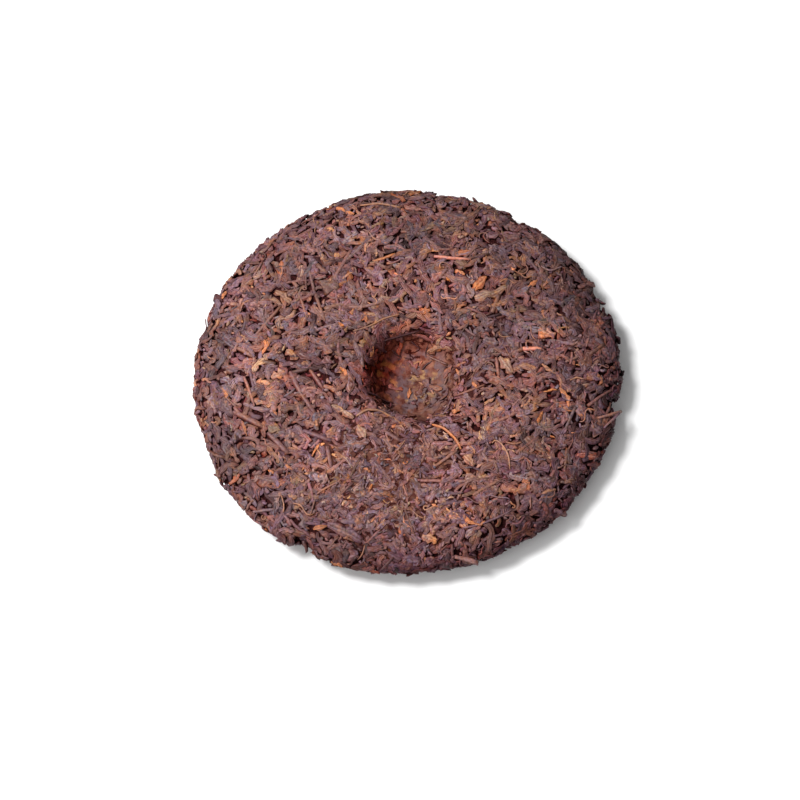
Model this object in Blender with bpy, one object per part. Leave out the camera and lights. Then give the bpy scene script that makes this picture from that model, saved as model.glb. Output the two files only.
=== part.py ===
"""A pressed cake of ripe pu-erh tea, lying on its smooth face.

The back is up, with the hollow that the knot of the pressing cloth left in it. The cake is one solid:
a lens-shaped core whose surface is a relief of pressed leaves, ridge beside furrow, and the largest
leaves and stems fused on it at their true size. +Z is up, the origin is on the table under the cake's
axis, and all lengths are metres.
"""

import math
import random

import bmesh
import bpy
import numpy as np
from mathutils import Vector, geometry, noise

# The cake's section, before the hollow is pressed in
CAKE_RADIUS = 0.100
RING_HEIGHT = 0.0240
RIM_HEIGHT = 0.0105
BACK_POWER = 3.2
FACE_POWER = 5.0
FLAT_RADIUS = 0.054
FLAT_EDGE_SWING = 0.0045
FLAT_EDGE_WAVE = 0.0120

# The cake isn't quite round: (waves round the rim, cosine share, sine share) of its radius,
# which reach the rim in full and fade fast towards the middle
OUTLINE_WAVES = ((2, 0.0, 0.0080), (3, 0.0027, 0.0), (4, 0.0003, 0.0011), (5, 0.0, 0.0017))
OUTLINE_FADE = 4

# The hollow of the cloth's knot, whose wall is steeper on its left than on its right
HOLLOW_CENTRE = (0.0022, -0.0030)
HOLLOW_DEPTH = 0.0150
HOLLOW_RADIUS = 0.0198
WALL_POWER = 7.0
WALL_POWER_SWING = 2.8
WALL_RADIUS_SWING = 0.0022
STEEPEST_WALL = math.radians(165)

# Places where the rim has crumbled: (direction, half width along the rim, depth)
RIM_BITES = (
    (math.radians(-9), 0.0045, 0.0027),
    (math.radians(-32), 0.0080, 0.0009),
    (math.radians(-62), 0.0090, 0.0011),
    (math.radians(-87), 0.0200, 0.0009),
    (math.radians(-118), 0.0055, 0.0030),
    (math.radians(-160), 0.0100, 0.0009),
    (math.radians(165), 0.0045, 0.0014),
    (math.radians(113), 0.0060, 0.0008),
    (math.radians(79), 0.0070, 0.0015),
    (math.radians(57), 0.0045, 0.0020),
    (math.radians(25), 0.0100, 0.0020),
)

# Relief: pressed leaves side by side, each a ridge between two furrows
RELIEF_PITCH = 0.0048
RIDGE_STEP = 0.0048
RIDGE_STATIONS = (2, 3, 3, 4)
RIDGE_BEND = math.radians(50)
RIDGE_HEIGHT = (0.0002, 0.0008)
FURROW_DEPTH = (0.0005, 0.0012)
FURROW_TO_RIDGE = 0.0017
FURROW_SPACING = 0.0027
RELIEF_TRIES = 14000
CALM_HOLLOW = 0.6
PRESS_WAVE = 0.0240
PRESS_WAVE_HEIGHT = 0.0007
FLAT_RING_POINTS = 56

# Fused leaves and stems, none lying over the hollow's wall or under the cake
LEAF_COUNT = 44
STEM_EVERY = 2
LEAF_LENGTH = (0.0120, 0.0200)
LEAF_WIDTH = (0.0028, 0.0040)
LEAF_THICKNESS = 0.0018
STEM_WIDTH = (0.0019, 0.0026)
LEAF_BEND = math.radians(55)
LEAF_STATIONS = 4
LEAF_TAPER = (0.45, 1.0, 0.92, 0.50)
STEM_TAPER = (0.85, 1.0, 1.0, 0.85)
CLEAR_OF_TABLE = 0.0004
OPEN_HOLLOW = 0.2

# Near the rim a leaf lies along it
RIM_ZONE = 0.0160
RIM_HEADING = math.radians(22)

# A strip's section, as shares of its width across and of its top's height above the core
STRIP_SECTION = ((-0.50, -0.10), (-0.28, 1.0), (0.22, 1.0), (0.50, 0.0))
TOP_AT_TIP = 0.35
TOP_GAIN = 0.30

# Leaf ends that stand out of the rim: (direction, heading off the rim line, reach, width)
RIM_ENDS = (
    (math.radians(-12), math.radians(45), 0.0038, 0.0016),
    (math.radians(36), math.radians(40), 0.0018, 0.0028),
    (math.radians(16), math.radians(60), 0.0022, 0.0030),
    (math.radians(-44), math.radians(45), 0.0030, 0.0020),
    (math.radians(-70), math.radians(35), 0.0034, 0.0024),
    (math.radians(-129), math.radians(50), 0.0030, 0.0022),
    (math.radians(-115), math.radians(40), 0.0022, 0.0018),
    (math.radians(66), math.radians(40), 0.0020, 0.0026),
    (math.radians(-3), math.radians(60), 0.0022, 0.0028),
    (math.radians(104), math.radians(35), 0.0018, 0.0024),
    (math.radians(158), math.radians(45), 0.0016, 0.0024),
    (math.radians(-160), math.radians(55), 0.0018, 0.0022),
)
RIM_END_LENGTH = 0.0080
RIM_END_TAPER = (0.8, 1.0, 0.95, 0.6)

SEED = 357
TEA_BROWN = (0.110, 0.052, 0.042, 1.0)
TEA_ROUGHNESS = 0.62

# How the surface is sampled and mapped flat
SECTION_SAMPLES = 600
PROBE = 0.0004
MAP_CENTRE = 0.0006
MAP_TOLERANCE = 1e-6
INSIDE_OUTLINE = 1


def clear_scene():
    for obj in list(bpy.data.objects):
        bpy.data.objects.remove(obj, do_unlink=True)


def section_table():
    """Arc length, radius, height and area share at even steps from the back's centre to the face's."""
    share = np.sin(np.linspace(0, math.pi / 2, SECTION_SAMPLES))
    back = RIM_HEIGHT + (RING_HEIGHT - RIM_HEIGHT) * np.sqrt(1 - share**BACK_POWER)
    face = RIM_HEIGHT * (1 - np.sqrt(1 - share**FACE_POWER))
    flat = np.interp(FLAT_RADIUS / CAKE_RADIUS, share, face)
    face = np.maximum(face - flat, 0) * RIM_HEIGHT / (RIM_HEIGHT - flat)
    radius = CAKE_RADIUS * np.concatenate([share, share[-2::-1]])
    height = np.concatenate([back, face[-2::-1]])
    step = np.hypot(np.diff(radius), np.diff(height))
    arc = np.concatenate([[0], np.cumsum(step)])
    ring_area = step * (radius[1:] + radius[:-1]) / 2
    area = np.concatenate([[0], np.cumsum(ring_area)])
    return arc, radius, height, area / area[-1]


ARC, RADIUS, HEIGHT, AREA = section_table()


def turn_between(angle, other):
    """The signed turn from other to angle, within half a turn."""
    return (angle - other + math.pi) % (2 * math.pi) - math.pi


def rim_share(angle):
    """The outline's radius in a direction, as a share of the round cake's."""
    waves = sum(c * math.cos(n * angle) + s * math.sin(n * angle) for n, c, s in OUTLINE_WAVES)
    bites = sum(
        depth * math.exp(-((turn_between(angle, at) * CAKE_RADIUS / half_width) ** 2))
        for at, half_width, depth in RIM_BITES
    )
    return 1 + waves - bites / CAKE_RADIUS


def hollow_depth(x, y):
    """How far the knot has pressed the back down at a place."""
    dx = x - HOLLOW_CENTRE[0]
    dy = y - HOLLOW_CENTRE[1]
    swing = math.cos(math.atan2(dy, dx) - STEEPEST_WALL)
    mouth = HOLLOW_RADIUS - WALL_RADIUS_SWING * swing
    power = WALL_POWER + WALL_POWER_SWING * swing
    return HOLLOW_DEPTH / (1 + (math.hypot(dx, dy) / mouth) ** power)


def surface(arc, angle):
    """The point of the smooth cake at an arc length from the back's centre, in a direction."""
    radius = float(np.interp(arc, ARC, RADIUS))
    height = float(np.interp(arc, ARC, HEIGHT))
    radius *= 1 + (rim_share(angle) - 1) * (radius / CAKE_RADIUS) ** OUTLINE_FADE
    x = radius * math.cos(angle)
    y = radius * math.sin(angle)
    on_back = height > RIM_HEIGHT
    return Vector((x, y, height - (hollow_depth(x, y) if on_back else 0.0)))


def surface_normal(arc, angle):
    """The outward normal of the smooth cake."""
    radius = max(float(np.interp(arc, ARC, RADIUS)), PROBE)
    arc = min(max(arc, PROBE), ARC[-1] - PROBE)
    outwards = surface(arc + PROBE, angle) - surface(arc - PROBE, angle)
    turn = PROBE / radius
    around = surface(arc, angle + turn) - surface(arc, angle - turn)
    return outwards.cross(around).normalized()


def local_radius(arc):
    """The distance from the cake's axis, kept off zero so that a step round the axis stays finite."""
    return max(float(np.interp(arc, ARC, RADIUS)), RIDGE_STEP)


def line_on_cake(arc, angle, heading, step, stations, bend):
    """Spots at even steps along a bent line on the cake: (arc, angle, heading there)."""
    spots = []
    for _ in range(stations):
        spots.append((arc, angle, heading))
        heading += bend / stations
        angle += step * math.sin(heading) / local_radius(arc)
        arc += step * math.cos(heading)
    return spots


def beside(spot, sideways):
    """The spot at a distance to the left of a heading."""
    arc, angle, heading = spot
    turned = heading + math.pi / 2
    return arc + sideways * math.cos(turned), angle + sideways * math.sin(turned) / local_radius(arc)


def clear_of(point, others, gap):
    """Whether a point is at least a gap away from all others."""
    return not len(others) or float(np.min(np.linalg.norm(others - np.array(point), axis=1))) >= gap


def flat_edge(angle):
    """The arc length at which the flat spot begins, which isn't quite round either."""
    there = Vector((math.cos(angle), math.sin(angle), 0.0)) * FLAT_RADIUS / FLAT_EDGE_WAVE
    return float(ARC[-1]) - FLAT_RADIUS - FLAT_EDGE_SWING * (1 + noise.noise(there)) / 2


def scatter_ridges(rng):
    """Lines of the pressed leaves, thrown at random and kept where they clear the ones before."""
    ridges = []
    taken = np.empty((0, 3))
    for _ in range(RELIEF_TRIES):
        arc = float(np.interp(rng.random(), AREA, ARC))
        stations = rng.choice(RIDGE_STATIONS)
        bend = rng.uniform(-RIDGE_BEND, RIDGE_BEND)
        angle = rng.uniform(0, 2 * math.pi)
        heading = rng.uniform(0, 2 * math.pi)
        line = line_on_cake(arc, angle, heading, RIDGE_STEP, stations, bend)
        if not all(RIDGE_STEP / 2 < spot[0] < flat_edge(spot[1]) - RELIEF_PITCH / 2 for spot in line):
            continue
        points = np.array([surface(spot[0], spot[1]) for spot in line])
        if all(clear_of(point, taken, RELIEF_PITCH) for point in points):
            ridges.append(line)
            taken = np.vstack([taken, points])
    return ridges, taken


def scatter_furrows(ridges, ridge_points):
    """Spots of the furrows that part the ridges: at both sides of each and past its two ends."""
    half = RELIEF_PITCH / 2
    spots = [beside(spot, side) for line in ridges for spot in line for side in (-half, half)]
    for line in ridges:
        for (arc, angle, heading), onward in ((line[0], -half), (line[-1], half)):
            turn = onward * math.sin(heading) / local_radius(arc)
            spots.append((arc + onward * math.cos(heading), angle + turn))
    kept = []
    taken = np.empty((0, 3))
    for arc, angle in spots:
        if not 0 < arc < flat_edge(angle) - half:
            continue
        point = surface(arc, angle)
        if clear_of(point, ridge_points, FURROW_TO_RIDGE) and clear_of(point, taken, FURROW_SPACING):
            kept.append((arc, angle))
            taken = np.vstack([taken, np.array(point)])
    return kept


def conformal_radius(last_arc):
    """A flat map of the cake that keeps angles: the map's radius for each arc length."""
    arc = np.linspace(MAP_CENTRE, last_arc, SECTION_SAMPLES)
    radius = np.interp(arc, ARC, RADIUS)
    growth = np.diff(arc) * (1 / radius[1:] + 1 / radius[:-1]) / 2
    return arc, radius[0] * np.exp(np.concatenate([[0], np.cumsum(growth)]))


def relief_point(arc, angle, lift):
    """A point of the cake's surface with its relief, pressed calmer in the hollow."""
    point = surface(arc, angle)
    on_back = point.z > RIM_HEIGHT / 2
    pressed = hollow_depth(point.x, point.y) / HOLLOW_DEPTH if on_back else 0.0
    wave = PRESS_WAVE_HEIGHT * noise.noise(point / PRESS_WAVE)
    point += surface_normal(arc, angle) * (wave + lift * (1 - CALM_HOLLOW * pressed))
    point.z = max(point.z, CLEAR_OF_TABLE)
    return point


def core_mesh(rng):
    """The core: ridges and furrows joined by triangles over a flat map, closed by its resting flat."""
    map_arc, map_radius = conformal_radius(float(ARC[-1]) - FLAT_RADIUS)
    ridges, ridge_points = scatter_ridges(rng)
    spots = []
    ridge_edges = []
    for line in ridges:
        height = rng.uniform(*RIDGE_HEIGHT)
        first = len(spots)
        spots.extend((arc, angle, height) for arc, angle, _ in line)
        ridge_edges.extend((first + k, first + k + 1) for k in range(len(line) - 1))
    for arc, angle in scatter_furrows(ridges, ridge_points):
        spots.append((arc, angle, -rng.uniform(*FURROW_DEPTH)))
    first_of_ring = len(spots)
    for k in range(FLAT_RING_POINTS):
        angle = 2 * math.pi * k / FLAT_RING_POINTS
        spots.append((flat_edge(angle), angle, 0.0))
    on_map = [
        Vector((math.cos(angle), math.sin(angle))) * float(np.interp(arc, map_arc, map_radius))
        for arc, angle, _ in spots
    ]
    outline = list(range(first_of_ring, len(spots)))
    mapped = geometry.delaunay_2d_cdt(on_map, ridge_edges, [outline], INSIDE_OUTLINE, MAP_TOLERANCE)
    triangles, origins = mapped[2], mapped[3]
    bm = bmesh.new()
    flat_ring = {}
    for origin in origins:
        arc, angle, lift = spots[origin[0]]
        if origin[0] >= first_of_ring:
            radius = float(np.interp(arc, ARC, RADIUS))
            vert = bm.verts.new((radius * math.cos(angle), radius * math.sin(angle), 0.0))
            flat_ring[origin[0]] = vert
        else:
            vert = bm.verts.new(relief_point(arc, angle, lift))
    bm.verts.ensure_lookup_table()
    for triangle in triangles:
        bm.faces.new([bm.verts[corner] for corner in triangle])
    bm.faces.new([flat_ring[k] for k in sorted(flat_ring)])
    bmesh.ops.recalc_face_normals(bm, faces=bm.faces)
    return bm


def walk(arc, angle, heading, length, bend):
    """Places along a bent line on the cake: (point, direction, normal) at even steps."""
    line = line_on_cake(arc, angle, heading, length / (LEAF_STATIONS - 1), LEAF_STATIONS, bend)
    spots = [(surface(spot[0], spot[1]), surface_normal(spot[0], spot[1])) for spot in line]
    route = []
    for station, (point, normal) in enumerate(spots):
        before = spots[max(station - 1, 0)][0]
        after = spots[min(station + 1, LEAF_STATIONS - 1)][0]
        route.append((point, (after - before).normalized(), normal))
    return route


def strip_mesh(route, width, thickness, taper):
    """A closed strip with a five-sided section: a rounded top, two edges and a buried keel."""
    bm = bmesh.new()
    rings = []
    for (point, direction, normal), share in zip(route, taper):
        side = normal.cross(direction).normalized() * width * share
        top = normal * thickness * (TOP_AT_TIP + TOP_GAIN * share)
        ring = [bm.verts.new(point + side * across + top * up) for across, up in STRIP_SECTION]
        ring.append(bm.verts.new(point - normal * thickness))
        rings.append(ring)
    for first, second in zip(rings, rings[1:]):
        for k in range(len(first)):
            after = (k + 1) % len(first)
            bm.faces.new((first[k], first[after], second[after], second[k]))
    bm.faces.new(rings[0])
    bm.faces.new(rings[-1])
    for vert in bm.verts:
        vert.co.z = max(vert.co.z, CLEAR_OF_TABLE)
    bmesh.ops.recalc_face_normals(bm, faces=bm.faces)
    return bm


def to_object(name, bm, collection):
    mesh = bpy.data.meshes.new(name)
    bm.to_mesh(mesh)
    bm.free()
    obj = bpy.data.objects.new(name, mesh)
    collection.objects.link(obj)
    return obj


def add_spread_leaves(collection, rng):
    """The largest leaves and stems, at even spots of a golden-angle spiral over the cake."""
    golden = math.pi * (3 - math.sqrt(5))
    rim_arc = float(ARC[SECTION_SAMPLES - 1])
    for k in range(LEAF_COUNT):
        arc = float(np.interp((k + 0.5) / LEAF_COUNT, AREA, ARC))
        is_stem = k % STEM_EVERY == 0
        length = rng.uniform(*LEAF_LENGTH)
        width = rng.uniform(*(STEM_WIDTH if is_stem else LEAF_WIDTH))
        bend = 0.0 if is_stem else rng.uniform(-LEAF_BEND, LEAF_BEND)
        heading = rng.uniform(0, 2 * math.pi)
        if abs(arc - rim_arc) < RIM_ZONE:
            heading = math.pi / 2 + rng.uniform(-RIM_HEADING, RIM_HEADING)
        route = walk(arc, k * golden, heading, length, bend)
        deepest = max(hollow_depth(point.x, point.y) for point, _, _ in route)
        lowest = min(point.z for point, _, _ in route)
        if deepest > OPEN_HOLLOW * HOLLOW_DEPTH or lowest < LEAF_THICKNESS:
            continue
        taper = STEM_TAPER if is_stem else LEAF_TAPER
        to_object(f"leaf_{k:03d}", strip_mesh(route, width, LEAF_THICKNESS, taper), collection)


def add_rim_ends(collection):
    """Leaves that lie in the rim and end standing out of it."""
    rim_arc = float(ARC[SECTION_SAMPLES - 1])
    for k, (angle, heading, reach, width) in enumerate(RIM_ENDS):
        start = rim_arc - RIM_END_LENGTH * abs(math.sin(heading))
        back = angle - RIM_END_LENGTH * math.cos(heading) / CAKE_RADIUS
        route = walk(start, back, math.pi / 2 - heading, RIM_END_LENGTH, 0.0)
        lifted = []
        for station, (point, direction, normal) in enumerate(route):
            lift = reach * (station / (LEAF_STATIONS - 1)) ** 2
            lifted.append((point + normal * lift, direction, normal))
        to_object(f"rim_end_{k:02d}", strip_mesh(lifted, width, LEAF_THICKNESS, RIM_END_TAPER), collection)


def tea_material():
    material = bpy.data.materials.new("pressed_tea")
    material.use_nodes = True
    shader = material.node_tree.nodes["Principled BSDF"]
    shader.inputs["Base Color"].default_value = TEA_BROWN
    shader.inputs["Roughness"].default_value = TEA_ROUGHNESS
    shader.inputs["Metallic"].default_value = 0.0
    return material


def shells(bm):
    """The mesh's separate shells, as lists of faces."""
    left = set(bm.faces)
    found = []
    while left:
        front = [left.pop()]
        shell = list(front)
        while front:
            face = front.pop()
            neighbours = {other for edge in face.edges for other in edge.link_faces} & left
            left -= neighbours
            front.extend(neighbours)
            shell.extend(neighbours)
        found.append(shell)
    return found


def keep_outer_shell(mesh):
    """Fills the small hollows that fusing has sealed, and drops loose scraps."""
    bm = bmesh.new()
    bm.from_mesh(mesh)
    found = sorted(shells(bm), key=len)
    inner = [face for shell in found[:-1] for face in shell]
    bmesh.ops.delete(bm, geom=inner, context="FACES")
    bm.to_mesh(mesh)
    bm.free()


def fuse(core, collection):
    """One Boolean union of the core with all of the collection, applied, and the pieces removed."""
    union = core.modifiers.new("fuse_leaves", "BOOLEAN")
    union.operation = "UNION"
    union.operand_type = "COLLECTION"
    union.collection = collection
    union.solver = "EXACT"
    bpy.context.view_layer.update()
    graph = bpy.context.evaluated_depsgraph_get()
    fused = bpy.data.meshes.new_from_object(core.evaluated_get(graph), depsgraph=graph)
    keep_outer_shell(fused)
    core.modifiers.clear()
    core.data = fused
    for piece in list(collection.objects):
        bpy.data.objects.remove(piece, do_unlink=True)
    bpy.data.collections.remove(collection)


def main():
    clear_scene()
    scene_collection = bpy.context.scene.collection
    leaves = bpy.data.collections.new("leaves")
    scene_collection.children.link(leaves)
    rng = random.Random(SEED)
    cake = to_object("tea_cake", core_mesh(rng), scene_collection)
    add_spread_leaves(leaves, rng)
    add_rim_ends(leaves)
    fuse(cake, leaves)
    cake.data.materials.clear()
    cake.data.materials.append(tea_material())
    cake.data.shade_flat()


main()
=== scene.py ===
"""A pressed cake of ripe pu-erh tea, dressed leaf by leaf over its packed core.

The cake lies on its smooth face with the back up, so that the hollow of the pressing cloth's knot shows.
Its surface is made of real leaves: rolled and twisted strips, stems, flat flakes, golden buds, thin curled
threads and crumbs, each a closed mesh at its true size, laid over a dark core and over each other. All
lengths are metres and +Z is up.
"""

import logging
import math
from dataclasses import dataclass, field, replace
from enum import Enum
from typing import Sequence

import bpy
import numpy as np
from mathutils import Matrix, Vector

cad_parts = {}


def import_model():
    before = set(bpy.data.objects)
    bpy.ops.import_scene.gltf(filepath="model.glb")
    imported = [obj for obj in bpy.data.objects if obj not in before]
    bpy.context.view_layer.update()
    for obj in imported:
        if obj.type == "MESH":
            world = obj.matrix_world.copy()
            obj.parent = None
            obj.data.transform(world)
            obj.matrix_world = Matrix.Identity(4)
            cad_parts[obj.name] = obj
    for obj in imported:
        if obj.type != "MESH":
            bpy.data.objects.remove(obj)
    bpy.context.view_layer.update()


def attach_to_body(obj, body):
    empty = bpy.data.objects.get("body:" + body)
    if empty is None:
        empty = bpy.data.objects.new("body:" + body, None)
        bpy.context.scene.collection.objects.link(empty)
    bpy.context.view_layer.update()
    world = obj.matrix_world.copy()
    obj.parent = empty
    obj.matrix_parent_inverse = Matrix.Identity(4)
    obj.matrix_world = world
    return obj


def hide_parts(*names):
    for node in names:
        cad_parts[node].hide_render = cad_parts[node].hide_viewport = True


LOG = logging.getLogger("tea_cake")
BODY = "root"
NODE = "tea_cake"
SEED = 357
MM = 0.001
TINY = 1e-9
PIECE_LIMIT = 190_000

Colour = tuple[float, float, float]
Pixel = tuple[float, float]
Point = tuple[float, float, float]
Limits = tuple[float, float]
Array = np.ndarray
Random = np.random.Generator
Socket = bpy.types.NodeSocket


# The cake's form


@dataclass(frozen=True)
class CakeForm:
    """The smooth form of the cake that the leaves follow: a lens with a hollow in its back.

    An outline wave gives its count, cosine and sine; a rim bite its direction, half width and depth; and
    a pocket its direction, its arc past the rim, radius and depth.
    """

    radius: float = 0.100
    ring_height: float = 0.0240
    rim_height: float = 0.0105
    back_power: float = 3.2
    face_power: float = 5.0
    flat_radius: float = 0.054
    outline_waves: tuple[tuple[int, float, float], ...] = (
        (2, 0.0, 0.0080),
        (3, 0.0027, 0.0),
        (4, 0.0003, 0.0011),
        (5, 0.0, 0.0017),
    )
    outline_fade: float = 4.0
    hollow_centre: tuple[float, float] = (0.0022, -0.0030)
    hollow_depth: float = 0.0150
    hollow_radius: float = 0.0198
    wall_power: float = 7.0
    wall_power_swing: float = 2.8
    wall_radius_swing: float = 0.0022
    steepest_wall: float = math.radians(165)
    # Painted shade on the hollow's wall turned from the light, and painted light on the wall opposite it
    painted_wall_shade: Colour = (0.26, 0.81, 0.87)
    painted_wall_light: Colour = (0.45, 0.26, 0.18)
    glowing_wall: float = math.radians(80)
    wall_facing: float = 3.0
    wall_rise: float = 12.0
    glow_rise: float = 4.0
    glow_start: float = 0.6
    foot_rise: float = 1.9
    foot_start: float = 0.20
    wall_thickness: float = 2.5 * MM
    hollow_edge: float = 0.02
    # Painted shade down the cake's side, darkest on the side away from the light, and under its smooth face
    painted_side_shade: Colour = (0.65, 0.81, 0.71)
    darkest_side: float = math.radians(-38)
    side_heights: Limits = (0.0125, 0.0210)
    side_all_round: float = 0.30
    side_darkest: float = 0.70
    side_breadth: float = 1.3
    side_power: float = 5.0
    painted_face_shade: float = 0.35
    face_margin: float = 25 * MM
    # Painted shade of the side of the cake away from the light
    painted_lean_shade: float = 0.25
    lean: float = math.radians(40)
    lean_power: float = 1.5
    rim_bites: tuple[tuple[float, float, float], ...] = (
        (math.radians(-9), 0.0045, 0.0027),
        (math.radians(-32), 0.0080, 0.0009),
        (math.radians(-62), 0.0090, 0.0011),
        (math.radians(-87), 0.0200, 0.0009),
        (math.radians(-118), 0.0055, 0.0030),
        (math.radians(-160), 0.0100, 0.0009),
        (math.radians(165), 0.0045, 0.0014),
        (math.radians(113), 0.0060, 0.0008),
        (math.radians(79), 0.0070, 0.0015),
        (math.radians(57), 0.0045, 0.0020),
        (math.radians(25), 0.0100, 0.0020),
    )
    pockets: tuple[tuple[float, float, float, float], ...] = (
        (math.radians(-10.5), -0.0035, 0.0042, 0.0036),
        (math.radians(-119), -0.0010, 0.0034, 0.0034),
        (math.radians(22), 0.0000, 0.0040, 0.0016),
    )
    # Painted shade in the pockets where the rim has crumbled out
    painted_pocket_shade: float = 0.55
    deep_pocket: float = 0.0030
    mash_centre: Point = (-0.012, -0.058, 0.020)
    mash_radius: float = 0.041
    samples: int = 1200
    probe: float = 0.0004
    narrowings: int = 6

    def __post_init__(self) -> None:
        """Tabulates the section: arc length, radius, height and share of the area, centre to centre.

        The back's height is rim + (ring - rim) * sqrt(1 - share^back_power) and the face's is
        rim * (1 - sqrt(1 - share^face_power)), lowered and stretched so that it is flat in the middle.
        """
        share = np.sin(np.linspace(0, math.pi / 2, self.samples))
        back = self.rim_height + (self.ring_height - self.rim_height) * np.sqrt(1 - share**self.back_power)
        face = self.rim_height * (1 - np.sqrt(1 - share**self.face_power))
        flat = np.interp(self.flat_radius / self.radius, share, face)
        face = np.maximum(face - flat, 0) * self.rim_height / (self.rim_height - flat)
        radius = self.radius * np.concatenate([share, share[-2::-1]])
        height = np.concatenate([back, face[-2::-1]])
        step = np.hypot(np.diff(radius), np.diff(height))
        arc = np.concatenate([[0], np.cumsum(step)])
        area = np.concatenate([[0], np.cumsum(step * (radius[1:] + radius[:-1]) / 2)])
        for name, values in (("arc", arc), ("radii", radius), ("heights", height), ("area", area / area[-1])):
            object.__setattr__(self, name, values)

    @property
    def rim_arc(self) -> float:
        """The arc length from the back's centre to the rim."""
        return float(self.arc[self.samples - 1])

    @property
    def last_arc(self) -> float:
        """The arc length from the back's centre to the face's centre."""
        return float(self.arc[-1])

    def rim_share(self, angle: Array) -> Array:
        """The outline in a direction, as a share of a round one: 1 + slow waves - a bell for each bite.

        Args:
            angle: Directions round the axis.

        Returns:
            The outline's radius over the round cake's radius.
        """
        share = np.ones_like(angle)
        for waves, cosine, sine in self.outline_waves:
            share = share + cosine * np.cos(waves * angle) + sine * np.sin(waves * angle)
        for at, half_width, depth in self.rim_bites:
            turn = (angle - at + math.pi) % (2 * math.pi) - math.pi
            share = share - depth / self.radius * np.exp(-((turn * self.radius / half_width) ** 2))
        return share

    def pressed(self, x: Array, y: Array) -> Array:
        """How far the knot pressed the back down: depth / (1 + (distance / mouth)^power).

        Args:
            x: Positions across.
            y: Positions away.

        Returns:
            The hollow's depth at each place.
        """
        dx = x - self.hollow_centre[0]
        dy = y - self.hollow_centre[1]
        swing = np.cos(np.arctan2(dy, dx) - self.steepest_wall)
        mouth = self.hollow_radius - self.wall_radius_swing * swing
        power = self.wall_power + self.wall_power_swing * swing
        return self.hollow_depth / (1 + (np.hypot(dx, dy) / mouth) ** power)

    def crumbled(self, spot: Array) -> Array:
        """How deep the rim has crumbled out at a place: a bell of the distance from each pocket's centre.

        Args:
            spot: Places on the cake.

        Returns:
            Depths, one for each place.
        """
        depth = np.zeros(spot.shape[:-1])
        for angle, past_rim, radius, deepest in self.pockets:
            centre = self.surface(np.array(self.rim_arc + past_rim), np.array(angle))
            away = np.linalg.norm(spot - centre, axis=-1)
            depth = depth + deepest * np.exp(-((away / radius) ** 2))
        return depth

    def mashed(self, spot: Array) -> Array:
        """How far the tea is mashed to a skin at each spot, from 0 to 1: a bell round the mash's centre."""
        away = np.linalg.norm(spot - np.array(self.mash_centre), axis=-1) / self.mash_radius
        return np.exp(-(away**4))

    def hollow_share(self, spot: Array) -> Array:
        """Each spot's share of the hollow's full depth, or 0 on the smooth face under it."""
        share = self.pressed(spot[..., 0], spot[..., 1]) / self.hollow_depth
        return np.where(spot[..., 2] > self.ring_height - self.hollow_depth - self.wall_thickness, share, 0)

    def wall_painted_light_and_shade(self, spot: Array) -> Array:
        """Painted shade and painted light on the hollow's walls, as factors on the tea's colour.

        It is 1 - painted_wall_shade * w * f^wall_facing, a painted shade, where w rises with the hollow's
        share of its depth and falls again from the wall's foot to the floor's middle, and f falls from 1 at
        the steepest wall to 0 opposite it; round the glowing wall a like share of painted_wall_light, a
        painted light, is added.

        Args:
            spot: Places on the cake.

        Returns:
            Shares, with a last axis of three for the colour channels.
        """
        dx = spot[..., 0] - self.hollow_centre[0]
        dy = spot[..., 1] - self.hollow_centre[1]
        share = self.hollow_share(spot)
        angle = np.arctan2(dy, dx)
        off_floor = np.clip(self.foot_rise * np.hypot(dx, dy) / self.hollow_radius - self.foot_start, 0, 1)
        facing = 0.5 + 0.5 * np.cos(angle - self.steepest_wall)
        # Painted shade on the wall turned from the light, then painted light round the glowing wall
        shaded_wall = np.clip(share * self.wall_rise, 0, 1) * off_floor * facing**self.wall_facing
        walled = np.clip(self.glow_rise * share - self.glow_start, 0, 1) * off_floor
        glowing = np.maximum(np.cos(angle - self.glowing_wall), 0) ** 2
        left = 1 - shaded_wall[..., None] * np.array(self.painted_wall_shade)
        return left * (1 + (walled * glowing)[..., None] * np.array(self.painted_wall_light))

    def side_painted_shade(self, spot: Array) -> Array:
        """Painted shade on the cake's side and on its smooth face, as factors on the tea's colour.

        On the side it is 1 - painted_side_shade * h * s, a painted shade of the side turned from the light,
        where h rises down the side and s is largest round the darkest direction; the middle of the smooth
        face, under the cake, is evenly darker by painted_face_shade instead, also painted shade.

        Args:
            spot: Places on the cake.

        Returns:
            Shares, with a last axis of three for the colour channels.
        """
        low, high = self.side_heights
        height = np.where(self.hollow_share(spot) > self.hollow_edge, high, spot[..., 2])
        down = np.clip((high - height) / (high - low), 0, 1)
        turn = np.arctan2(spot[..., 1], spot[..., 0]) - self.darkest_side
        towards = np.minimum(self.side_breadth * (0.5 + 0.5 * np.cos(turn)), 1)
        around = self.side_all_round + self.side_darkest * towards**self.side_power
        sunk = (down * around)[..., None] * np.array(self.painted_side_shade)
        inside = np.hypot(spot[..., 0], spot[..., 1]) < self.flat_radius + self.face_margin
        face = (spot[..., 2] < self.rim_height / 2) & inside
        return 1 - np.where(face[..., None], self.painted_face_shade, sunk)

    def painted_light_and_shade(self, spot: Array) -> Array:
        """The painted light and shade at a place, as factors on the tea's colour: painted shade on the walls,
        the side and in the pockets, and painted light on one wall.

        It also darkens by up to painted_lean_shade towards the rim in the direction lean, a painted shade of
        the side away from the light, and a pocket takes away up to painted_pocket_shade more, a painted shade
        in its recess.

        Args:
            spot: Places on the cake.

        Returns:
            Shares, with a last axis of three for the colour channels.
        """
        left = self.wall_painted_light_and_shade(spot) * self.side_painted_shade(spot)
        leant = (spot[..., 0] * math.cos(self.lean) + spot[..., 1] * math.sin(self.lean)) / self.radius
        shade = np.minimum(self.crumbled(spot) / self.deep_pocket, 1) * self.painted_pocket_shade
        shadow = (1 - shade) * (1 - self.painted_lean_shade * np.clip(leant, 0, 1) ** self.lean_power)
        return left * shadow[..., None]

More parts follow.
